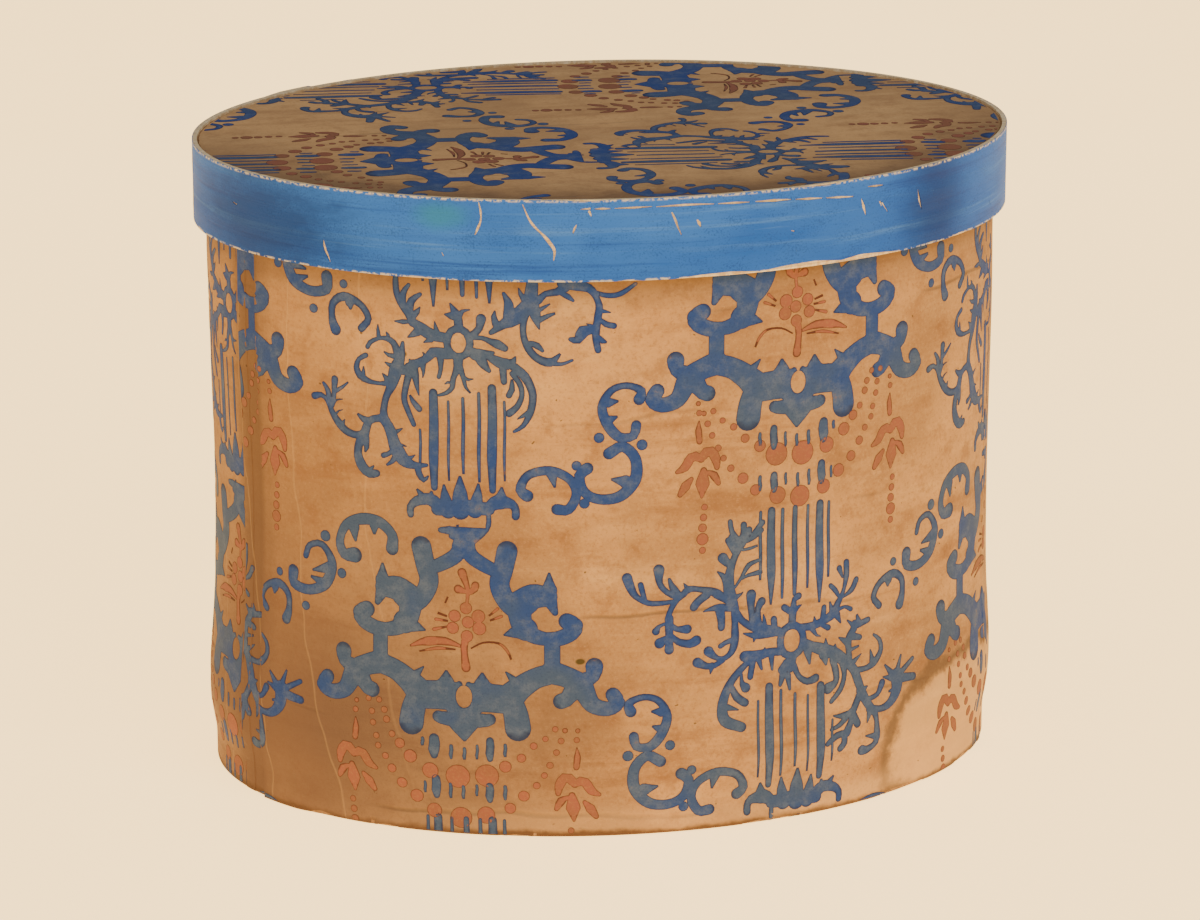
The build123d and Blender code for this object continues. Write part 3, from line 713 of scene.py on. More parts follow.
class Graph:
    """Adds nodes to a tree."""

    def __init__(self, tree):
        self.tree = tree

    def node(self, kind, settings=None, inputs=None, out=0):
        made = self.tree.nodes.new(kind)
        for key, value in (settings or {}).items():
            setattr(made, key, value)
        for key, value in (inputs or {}).items():
            if isinstance(value, Field):
                self.tree.links.new(value.socket, made.inputs[key])
            else:
                made.inputs[key].default_value = value
        return Field(self, made.outputs[out]) if len(made.outputs) else made

    def math(self, operation, *values):
        return self.node("ShaderNodeMath", {"operation": operation}, dict(enumerate(values)))

    def vector(self, operation, *values, out=0):
        return self.node("ShaderNodeVectorMath", {"operation": operation}, dict(enumerate(values)), out)

    def split(self, vector):
        made = self.node("ShaderNodeSeparateXYZ", inputs={0: vector})
        outputs = made.socket.node.outputs
        return [Field(self, outputs[i]) for i in range(3)]

    def join(self, x, y, z):
        return self.node("ShaderNodeCombineXYZ", inputs={0: x, 1: y, 2: z})


class Tree(Graph):
    """A geometry node tree whose inputs have names."""

    def __init__(self, name, inputs):
        super().__init__(bpy.data.node_groups.new(name, "GeometryNodeTree"))
        for label, kind in [("Geometry", "Geometry")] + inputs:
            self.tree.interface.new_socket(label, in_out="INPUT", socket_type=f"NodeSocket{kind}")
        self.tree.interface.new_socket("Geometry", in_out="OUTPUT", socket_type="NodeSocketGeometry")
        outputs = self.tree.nodes.new("NodeGroupInput").outputs
        self.given = {o.name: Field(self, o) for o in outputs if o.name}

    def finish(self, geometry_made, material):
        real = self.node("GeometryNodeRealizeInstances", inputs={0: geometry_made})
        painted = self.node("GeometryNodeSetMaterial", inputs={0: real, 2: material})
        self.node("NodeGroupOutput", inputs={0: painted})
        return self.tree


def wrap_tree():
    """Bends a flat sheet laid out as (round, up, out) onto an oval wall."""
    tree = Tree("Wrap on the oval", [("Half length", "Float"), ("Half width", "Float"),
                                     ("Depth of the oval", "Float"), ("Finish", "Material")])
    given = tree.given
    half_x, half_y = given["Half length"], given["Half width"]
    circle = tree.node("GeometryNodeCurvePrimitiveCircle", {"mode": "RADIUS"},
                       {"Resolution": 1440, "Radius": 1.0})
    oval = tree.node("GeometryNodeTransform", inputs={
        "Geometry": circle, "Rotation": (0, 0, -pi / 2), "Scale": tree.join(half_y, half_x, 1.0)})
    length = tree.node("GeometryNodeCurveLength", inputs={0: oval})
    around, up, out = tree.split(tree.node("GeometryNodeInputPosition"))
    along = tree.math("FLOORED_MODULO", around, length)
    sample = tree.node("GeometryNodeSampleCurve", {"mode": "LENGTH", "use_all_curves": False},
                       {"Curves": oval, "Length": along}, out=1)
    x, y, _ = tree.split(sample)
    depth = out - given["Depth of the oval"]
    place = tree.join(x + x * depth / half_x, y + y * depth / half_y, up)
    bent = tree.node("GeometryNodeSetPosition", inputs={"Geometry": given["Geometry"], "Position": place})
    return tree.finish(bent, given["Finish"])


def repeat_tree():
    """Repeats the two pattern blocks in alternating columns, the second one dropped by half a repeat."""
    tree = Tree("Repeat the blocks", [("First block", "Object"), ("Second block", "Object"),
                                      ("Columns", "Int"), ("Rows", "Int"), ("Column pitch",
                                      "Float"), ("Row pitch", "Float"),
                                      ("Drop", "Float"), ("Start", "Vector"), ("Finish", "Material")])
    given = tree.given
    parts = []
    columns, rows = given["Columns"], given["Rows"]
    for i, block in enumerate(("First block", "Second block")):
        grid = tree.node("GeometryNodeMeshGrid", inputs={
            "Size X": given["Column pitch"] * 2 * (columns - 1), "Size Y": given["Row pitch"] * (rows - 1),
            "Vertices X": columns, "Vertices Y": rows})
        shift = tree.join(given["Column pitch"] * (columns - 1 + i),
                          given["Row pitch"] * (rows - 1) / 2 - given["Drop"] * i, 0.0)
        spread = tree.node("GeometryNodeTransform", inputs={
            "Geometry": grid, "Translation": tree.vector("ADD", shift, given["Start"])})
        item = tree.node("GeometryNodeObjectInfo", out=4,
                         inputs={"Object": given[block], "As Instance": True})
        parts.append(tree.node("GeometryNodeInstanceOnPoints", inputs={"Points": spread, "Instance": item}))
    joined = tree.node("GeometryNodeJoinGeometry", inputs={0: parts[0]})
    tree.tree.links.new(parts[1].socket, joined.socket.node.inputs[0])
    return tree.finish(joined, given["Finish"])


# ---- finishes -----------------------------------------------------------------------------
def tint(red, green, blue):
    """Colour given as it looks, turned into the renderer's light values."""
    return tuple((c / 255 / 12.92 if c / 255 <= 0.04045 else ((c / 255 + 0.055) / 1.055) ** 2.4)
                 for c in (red, green, blue)) + (1.0,)


class Finish(Graph):
    """A material whose colour, roughness and bump come from nodes."""

    def __init__(self, name, place="object"):
        self.material = bpy.data.materials.new(name)
        self.material.use_nodes = True
        super().__init__(self.material.node_tree)
        self.tree.nodes.clear()
        if place == "object":
            self.place = self.node("ShaderNodeTexCoord", out=3)
        else:
            self.place = self.node("ShaderNodeUVMap", {"uv_map": "flat"})

    def noise(self, scale, stretch=(1, 1, 1), detail=4.0, rough=0.55, seed=0.0, twist=0.0):
        """Noise between 0 and 1; scale counts its cells to the metre, stretch multiplies each direction."""
        place = self.vector("MULTIPLY", self.place, stretch)
        place = self.vector("ADD", place, (seed, seed * 0.7, seed * 1.3))
        return self.node("ShaderNodeTexNoise", inputs={
            "Vector": place, "Scale": scale, "Detail": detail, "Roughness": rough, "Distortion": twist})

    def rise(self, value, low, high):
        """0 below low, 1 above high, and smooth between."""
        return self.node("ShaderNodeMapRange", {"interpolation_type": "SMOOTHSTEP"},
                         {"Value": value, "From Min": low, "From Max": high})

    def spot(self, x, y, wide, tall, ragged=None, edge=0.35):
        """Patch on a flat layout, 1 inside and 0 outside."""
        away = self.vector("SUBTRACT", self.place, (x, y, 0))
        away = self.vector("LENGTH", self.vector("DIVIDE", away, (wide, tall, 1)), out=1)
        if ragged is not None:
            away = away + ragged
        return 1 - self.rise(away, 1 - edge, 1 + edge)

    def blend(self, share, first, second):
        """Colour that goes from first to second as share goes from 0 to 1."""
        return self.node("ShaderNodeMix", {"data_type": "RGBA"},
                         {0: share, 6: first, 7: second}, out=2)

    def shaded(self, colour, rough, height, depth=0.0002, sheen=0.0, specular=0.35):
        """The finished material; height bumps the surface by up to depth metres."""
        bump = self.node("ShaderNodeBump", inputs={"Strength": 1.0, "Distance": depth, "Height": height})
        shader = self.node("ShaderNodeBsdfPrincipled", inputs={
            "Base Color": colour, "Roughness": rough, "Specular IOR Level": specular, "Sheen Weight": sheen,
            "Normal": bump})
        self.node("ShaderNodeOutputMaterial", inputs={0: shader})
        return self.material


def wall_stains_and_shade(f, colour, around, up, cloudy, mottled, ragged):
    """Painted shade beside the wall strip's lap, low on the left, down the left side and under the
    rim; two dark marks, a damp patch."""
    # painted shadow left of the lap's step, and painted shade along the lap's ridge
    lap_shadow = f.rise(around, -0.2245, -0.2295) * f.rise(around, -0.262, -0.24)
    colour = f.blend(lap_shadow * 0.88, colour, tint(*ground_umber))
    lap_ridge_shade = f.rise(around, -0.2295, -0.2275) * f.rise(around, -0.214, -0.224)
    colour = f.blend(lap_ridge_shade * 0.4, colour, tint(*ground_umber))
    # painted shade low on the left
    low_left_shade = f.spot(-0.185, 0.05, 0.105, 0.08, ragged * 0.35, 0.95)
    colour = f.blend(low_left_shade * 0.95, colour, tint(94, 72, 62))
    # painted shade down the left side, where the wall turns from the light
    left_side_shade = f.rise(around + (cloudy - 0.5) * 0.08, -0.1, -0.24)
    colour = f.blend(left_side_shade * 0.3, colour, tint(*ground_brown))
    # painted shade under the lid's rim
    under_rim_shade = f.rise(up + (cloudy - 0.5) * 0.02, 0.278, 0.297)
    colour = f.blend(under_rim_shade * 0.55, colour, tint(*ground_umber))
    marks = f.spot(-0.138, 0.256, 0.0022, 0.0016) + f.spot(-0.047, 0.096, 0.0024, 0.0015)
    colour = f.blend(f.math("MINIMUM", marks, 0.9), colour, tint(58, 50, 16))
    # damp patch with a brown tide line, low on the right
    damp_edge = f.vector("LENGTH", f.vector("DIVIDE", f.vector("SUBTRACT", f.place, (0.205, 0.022, 0)),
                                            (0.078, 0.042, 1)), out=1) + ragged * 0.42
    colour = f.blend((1 - f.rise(damp_edge, 0.8, 1.0)) * 0.6, colour, tint(*ground_pale))
    tide = f.rise(damp_edge, 0.86, 0.99) * f.rise(damp_edge, 1.14, 1.0)
    colour = f.blend(tide * 0.75, colour, tint(*ground_umber))
    return colour


def lid_painted_light(f, colour, along, across, cloudy, mottled):
    """The lid catches less light from the floor, so its paper is painted paler; painted shadow of the rim
    lies near its front edge.
    """
    # painted light: the lid's paper made paler all over
    colour = f.blend(0.19, colour, tint(240, 196, 140))
    away = f.vector("LENGTH", f.vector("DIVIDE", f.place, (disc_long, disc_short, 1)), out=1)
    uneven = (cloudy - 0.5) * 0.5 + (mottled - 0.5) * 0.2
    # painted shadow of the rim on the lid's top, on the front side
    rim_shadow = f.rise(away + uneven, 0.7, 1.0) * f.rise(across, 0.06, -0.1)
    return f.blend(rim_shadow * 0.72, colour, tint(*ground_umber))


def dark_and_rubbed_foot(f, colour, around, up, cloudy, mottled):
    """The foot of the wall: darker at the very edge, rubbed pale above it."""
    foot = f.rise(up + (mottled - 0.5) * 0.006 + (cloudy - 0.5) * 0.006, 0.0046, 0.0012)
    colour = f.blend(foot * 0.85, colour, tint(92, 62, 38))
    rubbed = f.rise(up + (cloudy - 0.5) * 0.02, 0.020, 0.008) * (1 - foot) * f.rise(around, -0.17, -0.06)
    colour = f.blend(rubbed * 0.3, colour, tint(*ground_pale))
    return colour


def wallpaper_ground(placed=True):
    """Aged tan paper: blotches, long creases, dark specks; placed adds the wall's stains, painted shade,
    darker foot.
    """
    f = Finish("aged_wallpaper" if placed else "aged_lid_wallpaper", "flat")
    around, up, _ = f.split(f.place)
    cloudy = f.noise(11, (1, 1.2, 1), 5, 0.6, 3.1)
    mottled = f.noise(70, (1, 1, 1), 5, 0.65, 7.7)
    grain = f.noise(650, (1, 1, 1), 3, 0.7, 1.9)
    streaky = f.noise(40, (0.16, 1.3, 1), 6, 0.62, 5.3, 0.4)
    colour = f.blend(f.rise(cloudy, 0.34, 0.68), tint(*ground_dark), tint(*ground_light))
    colour = f.blend(f.rise(streaky, 0.5, 0.74) * 0.45, colour, tint(*ground_pale))
    colour = f.blend(f.rise(streaky, 0.48, 0.3) * 0.62, colour, tint(*ground_brown))
    colour = f.blend(f.rise(mottled, 0.48, 0.7) * 0.52, colour, tint(*ground_brown))
    blotchy = f.noise(26, (1, 1.3, 1), 5, 0.7, 41.0)
    colour = f.blend(f.rise(blotchy, 0.5, 0.72) * 0.4, colour, tint(*ground_brown))
    colour = f.blend(f.rise(grain, 0.5, 0.7) * 0.42, colour, tint(*ground_brown))
    colour = f.blend(f.rise(grain, 0.46, 0.28) * 0.22, colour, tint(*ground_pale))
    ragged = (cloudy - 0.5) * 1.6 + (mottled - 0.5) * 0.9
    if placed:
        colour = wall_stains_and_shade(f, colour, around, up, cloudy, mottled, ragged)
    # creases that run round the wall, and a few upright ones by the lap
    wave = f.noise(14, (0.5, 0.5, 1), 3, 0.5, 12.0)
    crease_at = f.math("FRACT", (up + wave * 0.035) * 19)
    crease = f.rise(crease_at, 0.47, 0.5) * f.rise(crease_at, 0.54, 0.505) * f.rise(
        f.noise(9, (0.6, 3, 1), 3, 0.6, 20.0), 0.5, 0.64)
    # painted shade: the creases are darker along their lines, in the folds
    colour = f.blend(crease * 0.55, colour, tint(*ground_umber))
    upright_at = f.math("FRACT", (around + up * 0.12 + wave * 0.05) * 23)
    upright = f.rise(upright_at, 0.48, 0.5) * f.rise(upright_at, 0.53, 0.505) * f.rise(around, -0.12, -0.17)
    colour = f.blend(upright * 0.16, colour, tint(*ground_pale))
    specks = f.rise(f.noise(190, (1, 1, 1), 2, 0.5, 31.0), 0.735, 0.76)
    colour = f.blend(specks * 0.75, colour, tint(64, 44, 26))
    if placed:
        colour = dark_and_rubbed_foot(f, colour, around, up, cloudy, mottled)
    else:
        colour = lid_painted_light(f, colour, around, up, cloudy, mottled)
    height = mottled * 0.5 + grain * 0.25 + streaky * 0.8 - crease * 0.9 + upright * 0.8
    return f.shaded(colour, 0.72 + grain * 0.16, height, 0.00035, specular=0.28)


def blue_ink():
    """Distemper blue, printed unevenly: darker where it piled up at the edges, worn thin in places."""
    f = Finish("blue_distemper", "flat")
    edge = f.node("ShaderNodeAttribute", {"attribute_name": "edge"}, out=2)
    cloudy = f.noise(9, (1, 1, 1), 4, 0.6, 2.2)
    mottled = f.noise(120, (1, 1, 1), 5, 0.7, 4.4)
    grain = f.noise(800, (1, 1, 1), 3, 0.7, 8.8)
    colour = f.blend(f.rise(cloudy, 0.4, 0.62), tint(*ink_slate), tint(*ink_cobalt))
    colour = f.blend(f.rise(mottled, 0.42, 0.7) * 0.55, colour, tint(*ink_pale))
    colour = f.blend(f.rise(grain, 0.5, 0.7) * 0.3, colour, tint(*ink_deep))
    colour = f.blend(f.rise(edge, 0.25, 0.95) * 0.72, colour, tint(*ink_deep))
    thin = f.rise(mottled + (cloudy - 0.5) * 0.3, 0.66, 0.78)
    colour = f.blend(thin * 0.5, colour, tint(*ground_brown))
    return f.shaded(colour, 0.68 + grain * 0.15, mottled * 0.5 + grain * 0.4, 0.00015, specular=0.25)


def red_ink():
    """Faded pink with red-brown outlines."""
    f = Finish("red_distemper", "flat")
    edge = f.node("ShaderNodeAttribute", {"attribute_name": "edge"}, out=2)
    cloudy = f.noise(30, (1, 1, 1), 4, 0.6, 6.1)
    grain = f.noise(600, (1, 1, 1), 3, 0.7, 3.3)
    colour = f.blend(f.rise(cloudy, 0.38, 0.64), tint(*red_faded), tint(*red_pink))
    colour = f.blend(f.rise(grain, 0.45, 0.75) * 0.4, colour, tint(*ground_dark))
    colour = f.blend(f.rise(edge, 0.45, 1.0) * 0.85, colour, tint(*red_brown))
    return f.shaded(colour, 0.75 + grain * 0.12, grain, 0.0001, specular=0.22)


def blue_rim():
    """Brushed blue paint on paper: streaks round the rim, painted shade at both ends, small rubbed spots."""
    f = Finish("blue_painted_paper", "flat")
    around, up, _ = f.split(f.place)
    brush = f.noise(110, (0.05, 1.6, 1), 6, 0.65, 1.5)
    cloudy = f.noise(8, (1, 1.6, 1), 4, 0.55, 9.0)
    mottled = f.noise(90, (0.6, 1.2, 1), 5, 0.7, 4.0)
    grain = f.noise(900, (1, 1, 1), 2, 0.7, 2.0)
    colour = f.blend(f.rise(cloudy, 0.36, 0.66), tint(*paint_mid), tint(*paint_light))
    colour = f.blend(f.rise(brush, 0.54, 0.72) * 0.55, colour, tint(*paint_sky))
    colour = f.blend(f.rise(brush, 0.47, 0.3) * 0.6, colour, tint(*paint_deep))
    # painted shade where the rim's two ends turn from the light
    dark = f.spot(-0.225, 0.316, 0.05, 0.026, (mottled - 0.5) * 1.6, 0.7) + f.spot(
        0.158, 0.317, 0.022, 0.032, (mottled - 0.5) * 1.2, 0.8)
    colour = f.blend(f.math("MINIMUM", dark, 1.0) * 0.72, colour, tint(*paint_night))
    speckle = f.rise(grain + (mottled - 0.5) * 0.6, 0.5, 0.72)
    colour = f.blend(speckle * 0.38, colour, tint(*paint_night))
    green = f.spot(-0.1186, 0.331, 0.012, 0.006, (mottled - 0.5) * 1.2, 0.7)
    colour = f.blend(green * 0.5, colour, tint(36, 122, 146))
    rubbed = f.rise(mottled + (grain - 0.5) * 0.5, 0.72, 0.8)
    colour = f.blend(rubbed * 0.5, colour, tint(*paint_sky))
    flecks = f.rise(f.noise(330, (1, 1, 1), 2, 0.6, 17.0), 0.44, 0.56)
    ends = f.rise(up, 0.3384, 0.3397) + f.rise(up + (mottled - 0.5) * 0.003, 0.2992, 0.2983)
    colour = f.blend(f.math("MINIMUM", ends, 1.0) * flecks * 0.8, colour, tint(214, 200, 168))
    return f.shaded(colour, 0.5 + brush * 0.25, brush + grain * 0.2 + mottled * 0.3, 0.0003, specular=0.18)


def pasteboard(name, dark, light):
    """Layered rag board: pulpy faces, pale where it is freshly cut at the rim's top."""
    f = Finish(name)
    _, _, up = f.split(f.place)
    pulp = f.noise(260, (1, 1, 0.6), 5, 0.7, 1.0)
    layers = f.noise(60, (0.4, 0.4, 22), 4, 0.6, 5.0)
    colour = f.blend(f.rise(pulp, 0.4, 0.65), tint(*dark), tint(*light))
    colour = f.blend(f.rise(layers, 0.45, 0.6) * 0.35, colour, tint(126, 94, 64))
    top = f.rise(up, rim_high[2] - 0.0006, rim_high[2] - 0.0002)
    bare_edge = f.blend(f.rise(pulp, 0.35, 0.7), tint(206, 182, 142), tint(236, 218, 184))
    colour = f.blend(top * 0.85, colour, bare_edge)
    dirty = f.rise(f.noise(420, (1, 1, 1), 3, 0.6, 14.0), 0.6, 0.72) * top
    colour = f.blend(dirty * 0.6, colour, tint(120, 84, 52))
    return f.shaded(colour, 0.86 + pulp * 0.1, pulp + layers * 0.5, 0.0004, specular=0.2)


def lining_paper():
    """Plain rag paper gone cream, with fibres, foxing and faint creases."""
    f = Finish("lining_paper")
    cloudy = f.noise(12, (1, 1, 1), 4, 0.6, 2.0)
    fibre = f.noise(420, (1, 1, 0.35), 4, 0.7, 6.0)
    colour = f.blend(f.rise(cloudy, 0.35, 0.65), tint(214, 196, 160), tint(228, 214, 182))
    colour = f.blend(f.rise(fibre, 0.5, 0.72) * 0.35, colour, tint(190, 166, 124))
    foxing = f.rise(f.noise(75, (1, 1, 1), 3, 0.5, 21.0), 0.66, 0.74)
    colour = f.blend(foxing * 0.45, colour, tint(168, 122, 74))
    return f.shaded(colour, 0.82 + fibre * 0.12, fibre + cloudy, 0.0003, specular=0.2)


def linen_thread():
    """Twisted waxed linen."""
    f = Finish("linen_thread")
    twist = f.noise(1500, (1, 1, 1), 3, 0.6, 2.0)
    colour = f.blend(f.rise(twist, 0.4, 0.62), tint(150, 128, 92), tint(214, 198, 162))
    return f.shaded(colour, 0.7 + twist * 0.2, twist, 0.0002, sheen=0.2, specular=0.3)


def floor_paper():
    f = Finish("pale_floor")
    soft = f.noise(2.2, (1, 1, 1), 4, 0.5, 1.0)
    grain = f.noise(420, (1, 1, 1), 3, 0.6, 4.0)
    colour = f.blend(f.rise(soft, 0.35, 0.7), tint(*floor_low), tint(*floor_high))
    colour = f.blend(f.rise(grain, 0.5, 0.75) * 0.1, colour, tint(206, 190, 160))
    material = f.shaded(colour, 0.85 + grain * 0.1, grain, 0.0001, specular=0.15)
    shader = next(n for n in f.tree.nodes if n.type == "BSDF_PRINCIPLED")
    shader.inputs["Emission Color"].default_value = tint(*floor_glow)
    shader.inputs["Emission Strength"].default_value = floor_light
    return material


# colours as they look in plain light
ground_light, ground_dark = (192, 146, 95), (157, 118, 78)
ground_pale, ground_brown, ground_umber = (215, 172, 117), (130, 88, 55), (90, 68, 51)
ink_slate, ink_cobalt, ink_pale, ink_deep = (56, 76, 112), (32, 62, 128), (88, 102, 130), (22, 32, 70)
red_faded, red_pink, red_brown = (132, 84, 62), (142, 84, 68), (66, 34, 28)
paint_mid, paint_light, paint_sky = (26, 85, 182), (44, 105, 204), (84, 136, 214)
paint_deep, paint_night = (6, 58, 148), (2, 36, 98)
floor_light = 3.05                               # strength of the floor's own light
floor_low, floor_high, floor_glow = (246, 222, 172), (252, 230, 184), (255, 210, 134)

ground, blue, red = wallpaper_ground(), blue_ink(), red_ink()
rim_paint, rag, thread = blue_rim(), lining_paper(), linen_thread()
card = pasteboard("brown_pasteboard", (150, 112, 76), (186, 150, 108))
rim_card = pasteboard("pale_pasteboard", (214, 180, 132), (244, 222, 180))
on_wall, repeated = wrap_tree(), repeat_tree()


# ---- the wall's shape ---------------------------------------------------------------------
def smooth(value, low, high):
    """0 below low, 1 above high, and an even curve between."""
    t = np.clip((value - low) / (high - low), 0, 1)
    return t * t * (3 - 2 * t)


perimeter = pi * (3 * (face_long + face_short)
                  - ((3 * face_long + face_short) * (face_long + 3 * face_short)) ** 0.5)


def settle(around, up):
    """How far the old wall stands out from a true oval: a slack belly low down and a slight waist."""
    turn = 2 * pi * around / perimeter
    side = np.sin(turn) ** 2
    left = smooth(-np.sin(turn), 0.2, 1.0)
    free = smooth(up, 11 * mm, 34 * mm) * (1 - smooth(up, 250 * mm, 294 * mm))
    belly = 3.0 * np.exp(-((up - 46 * mm) / (34 * mm)) ** 2) * (0.3 + 0.7 * side)
    waist = -1.7 * np.exp(-((up - 165 * mm) / (62 * mm)) ** 2) * (0.15 + 0.85 * left)
    waves = 0.35 * np.sin(3 * turn + 1.0 + up * 14) + 0.25 * np.sin(7 * turn - up * 31)
    return (belly + waist + waves) * free * mm


def lapped(around):
    """Rise of the wall's outer face over the wall strip's lapped end."""
    around = (around + perimeter / 2) % perimeter - perimeter / 2
    rise = np.clip((around - lap_end) / (0.4 * mm) + 1, 0, 1)
    fall = np.clip((lap_foot - around) / (lap_foot - lap_flat), 0, 1)
    return board * np.minimum(rise, fall) * (around < lap_foot)


def around_at(angle, half_long=face_long, half_short=face_short):
    """Way round an oval, the covered wall unless told, from the front's middle to a parameter "
    "angle in degrees."""
    turns = np.linspace(-pi / 2, radians(angle), 4001)
    steps = np.hypot(half_long * np.diff(np.cos(turns)), half_short * np.diff(np.sin(turns)))
    return float(np.sum(steps)) * (1 if angle > -90 else -1)


def folded(flat, depth, rise=0.0):
    """(round, up, out) of a point depth above the board, on a sheet folded under the foot and over "
    "the top."""
    around, up = flat[:, 0], flat[:, 1]
    lap = lapped(around)
    inner, top = board + lap + rise, wall_top
    beyond = top + board
    under = np.maximum(wall_foot - up, 0)
    over = np.clip(up - top, 0, board)
    inside = np.maximum(up - beyond, 0)
    round_foot = np.clip((wall_foot + fold_soft - up) / (2 * fold_soft), 0, 1) * pi / 2
    round_top = np.clip((up - top + fold_soft) / (2 * fold_soft), 0, 1) * pi / 2
    round_in = np.clip((up - beyond + fold_soft) / (2 * fold_soft), 0, 1) * pi / 2
    out = inner - under - over * inner / board
    height = np.clip(up, wall_foot, top) - inside
    lean = round_top + round_in
    out = out + depth * np.cos(lean) * np.cos(round_foot)
    height = height + depth * np.sin(lean) - depth * np.sin(round_foot)
    return np.stack([around, height, out + settle(around, height)], axis=1)


def sheet_layout(left, right, low, high, keep=(), step=4.0, ragged=0.5, seed=1, cuts=()):
    """Flat mesh of a sheet with uneven upright edges; left to high are metres, keep holds columns "
    "and rows."""
    drawing = Drawing()
    ups = np.arange(low, high + 1e-9, 3 * mm)
    ups[-1] = high
    edge_left = left + wobble(ups, seed) * ragged * mm
    edge_right = right + wobble(ups, seed + 1) * ragged * mm
    columns = np.unique(np.concatenate([np.arange(left, right, step * mm), keep[0]]))
    columns = columns[(columns > left + 1.5 * mm) & (columns < right - 1.5 * mm)]
    rows = np.unique(np.concatenate([np.arange(low, high, step * mm), keep[1]]))
    rows = rows[(rows > low) & (rows < high)]
    outline = [*zip(edge_right, ups), *((x, high) for x in columns[::-1]),
               *zip(edge_left[::-1], ups[::-1]), *((x, low) for x in columns)]
    drawing.outline(np.array(outline) / mm)
    drawing.points.extend((x / mm, y / mm) for x in columns for y in rows)
    for cut in cuts:
        if isinstance(cut, str):
            drawing.stroke(cut, cut=True, gap=1.5)
        else:
            drawing.outline(cut, cut=True)
    points, triangles, _ = drawing.mesh()
    middle = points[triangles].mean(axis=1) * mm
    return points * mm, triangles[(middle[:, 1] > low) & (middle[:, 1] < high)]


def wrapped(item, finish):
    """The sheet bent round the wall."""
    return finished(item, on_wall, {
        "Half length": face_long, "Half width": face_short, "Depth of the oval": board + cover,
        "Finish": finish})


def hand_in(item, body, slot, *nodes):
    """Shades a finished piece flat, sets it on the body it rides on and hides the parts it stands for; slot
    is not used.
    """
    for face in item.data.polygons:
        face.use_smooth = False
    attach(item, body)
    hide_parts(*nodes)


# ---- the print blocks ---------------------------------------------------------------------
def block(name, drawing, turned_over=False):
    """A drawing as a flat print block, kept out of sight."""
    points, triangles, edge = drawing.mesh()
    flat = points * mm
    if turned_over:
        flat = flat * (-1, 1)
        triangles = triangles[:, ::-1]
    item = mesh_object(name, np.column_stack([flat, np.zeros(len(flat))]), triangles, {"edge": edge})
    item.hide_render = True
    return item


blocks = [block("first_blue_block", first_blue()), block("second_blue_block", second_blue(), True)]
red_blocks = [block("first_red_block", red_print(first_tassels)),
              block("second_red_block", red_print(second_tassels, second_swag_rise), True)]


def trimmed(item, inside, onto):
    """Flat print kept where inside is true; corners that reach past the edge are drawn back onto it."""
    points, triangles = arrays(item)
    flat = points[:, :2]
    edge = np.empty(len(flat), dtype=np.float32)
    item.data.attributes["edge"].data.foreach_get("value", edge)
    triangles = triangles[inside(flat)[triangles].any(axis=1)]
    flat = onto(flat)
    a, b, c = (flat[triangles[:, i]] for i in range(3))
    area = (b[:, 0] - a[:, 0]) * (c[:, 1] - a[:, 1]) - (b[:, 1] - a[:, 1]) * (c[:, 0] - a[:, 0])
    return used_only(flat, triangles[area > 1e-11], edge)


def used_only(flat, triangles, edge):
    """The layout without the points that no triangle uses."""
    used, triangles = np.unique(triangles, return_inverse=True)
    return flat[used], triangles.reshape(-1, 3), edge[used]


def joined(parts):
    """Several (flat, triangles, edge) layouts as one."""
    starts = np.cumsum([0] + [len(part[0]) for part in parts[:-1]])
    return (np.vstack([part[0] for part in parts]),
            np.vstack([part[1] + start for part, start in zip(parts, starts)]),
            np.concatenate([part[2] for part in parts]))


def repeated_print(name, pair, columns, start):
    """The two blocks repeated on a flat field."""
    base = mesh_object(name, [], [])
    return finished(base, repeated, {
        "First block": pair[0], "Second block": pair[1], "Columns": columns, "Rows": 3,
        "Column pitch": column_pitch, "Row pitch": row_pitch, "Drop": half_drop, "Start": start,
        "Finish": blue})


def wall_print(name, pair, finish, left, right, column, columns, rise, bare=()):
    """Print on one wall sheet, following its folds; bare holds worn (round, up, radius) places in mm."""
    raw = repeated_print(name + "_flat", pair, columns, (column, first_row - row_pitch, 0))
    fold = wall_top + board
    parts = []
    for low, high in ((wall_foot - turn_under + mm, wall_foot - 0.5 * mm),
                      (wall_foot + 0.5 * mm, wall_top - 0.5 * mm),
                      (fold + 0.5 * mm, fold + turn_in - mm)):
        parts.append(trimmed(
            raw, lambda p: (p[:, 0] > left) & (p[:, 0] < right) & (p[:, 1] > low) & (p[:, 1] < high),
            lambda p: np.clip(p, (left, low), (right, high))))
    bpy.data.objects.remove(raw)
    flat, triangles, edge = joined(parts)
    middle = flat[triangles].mean(axis=1) / mm
    worn = np.zeros(len(triangles), dtype=bool)
    for around, up, radius in bare:
        ragged = 1 + 0.35 * wobble(middle[:, 0] * mm, 5) + 0.3 * wobble(middle[:, 1] * mm, 6)
        worn |= np.hypot((middle[:, 0] - around) / 2.2, middle[:, 1] - up) < radius * ragged
    flat, triangles, edge = used_only(flat, triangles[~worn], edge)
    lift = rise(flat[:, 0])
    item = closed_sheet(name, flat, triangles, folded(flat, cover + print_under, lift),
                        folded(flat, cover + print_over, lift), {"edge": edge})
    return wrapped(item, finish)


# ---- the box ------------------------------------------------------------------------------
fold_rows = ([wall_foot + d * mm for d in (-0.3, 0, 0.3)]
             + [wall_top + d * mm for d in (-0.3, 0, 0.3, 1.7, 2.0, 2.3)])
lap_columns = [lap_end - 0.4 * mm, lap_end, lap_flat, lap_foot]
back_seam = around_at(back_seam_angle)


def lifted(*stretches):
    """Rise of one paper thickness over the given stretches."""
    def rise(around):
        total = np.zeros_like(around)
        for low, high in stretches:
            total += smooth(around, low - 0.6 * mm, low) * (1 - smooth(around, high, high + 0.6 * mm))
        return total * cover
    return rise


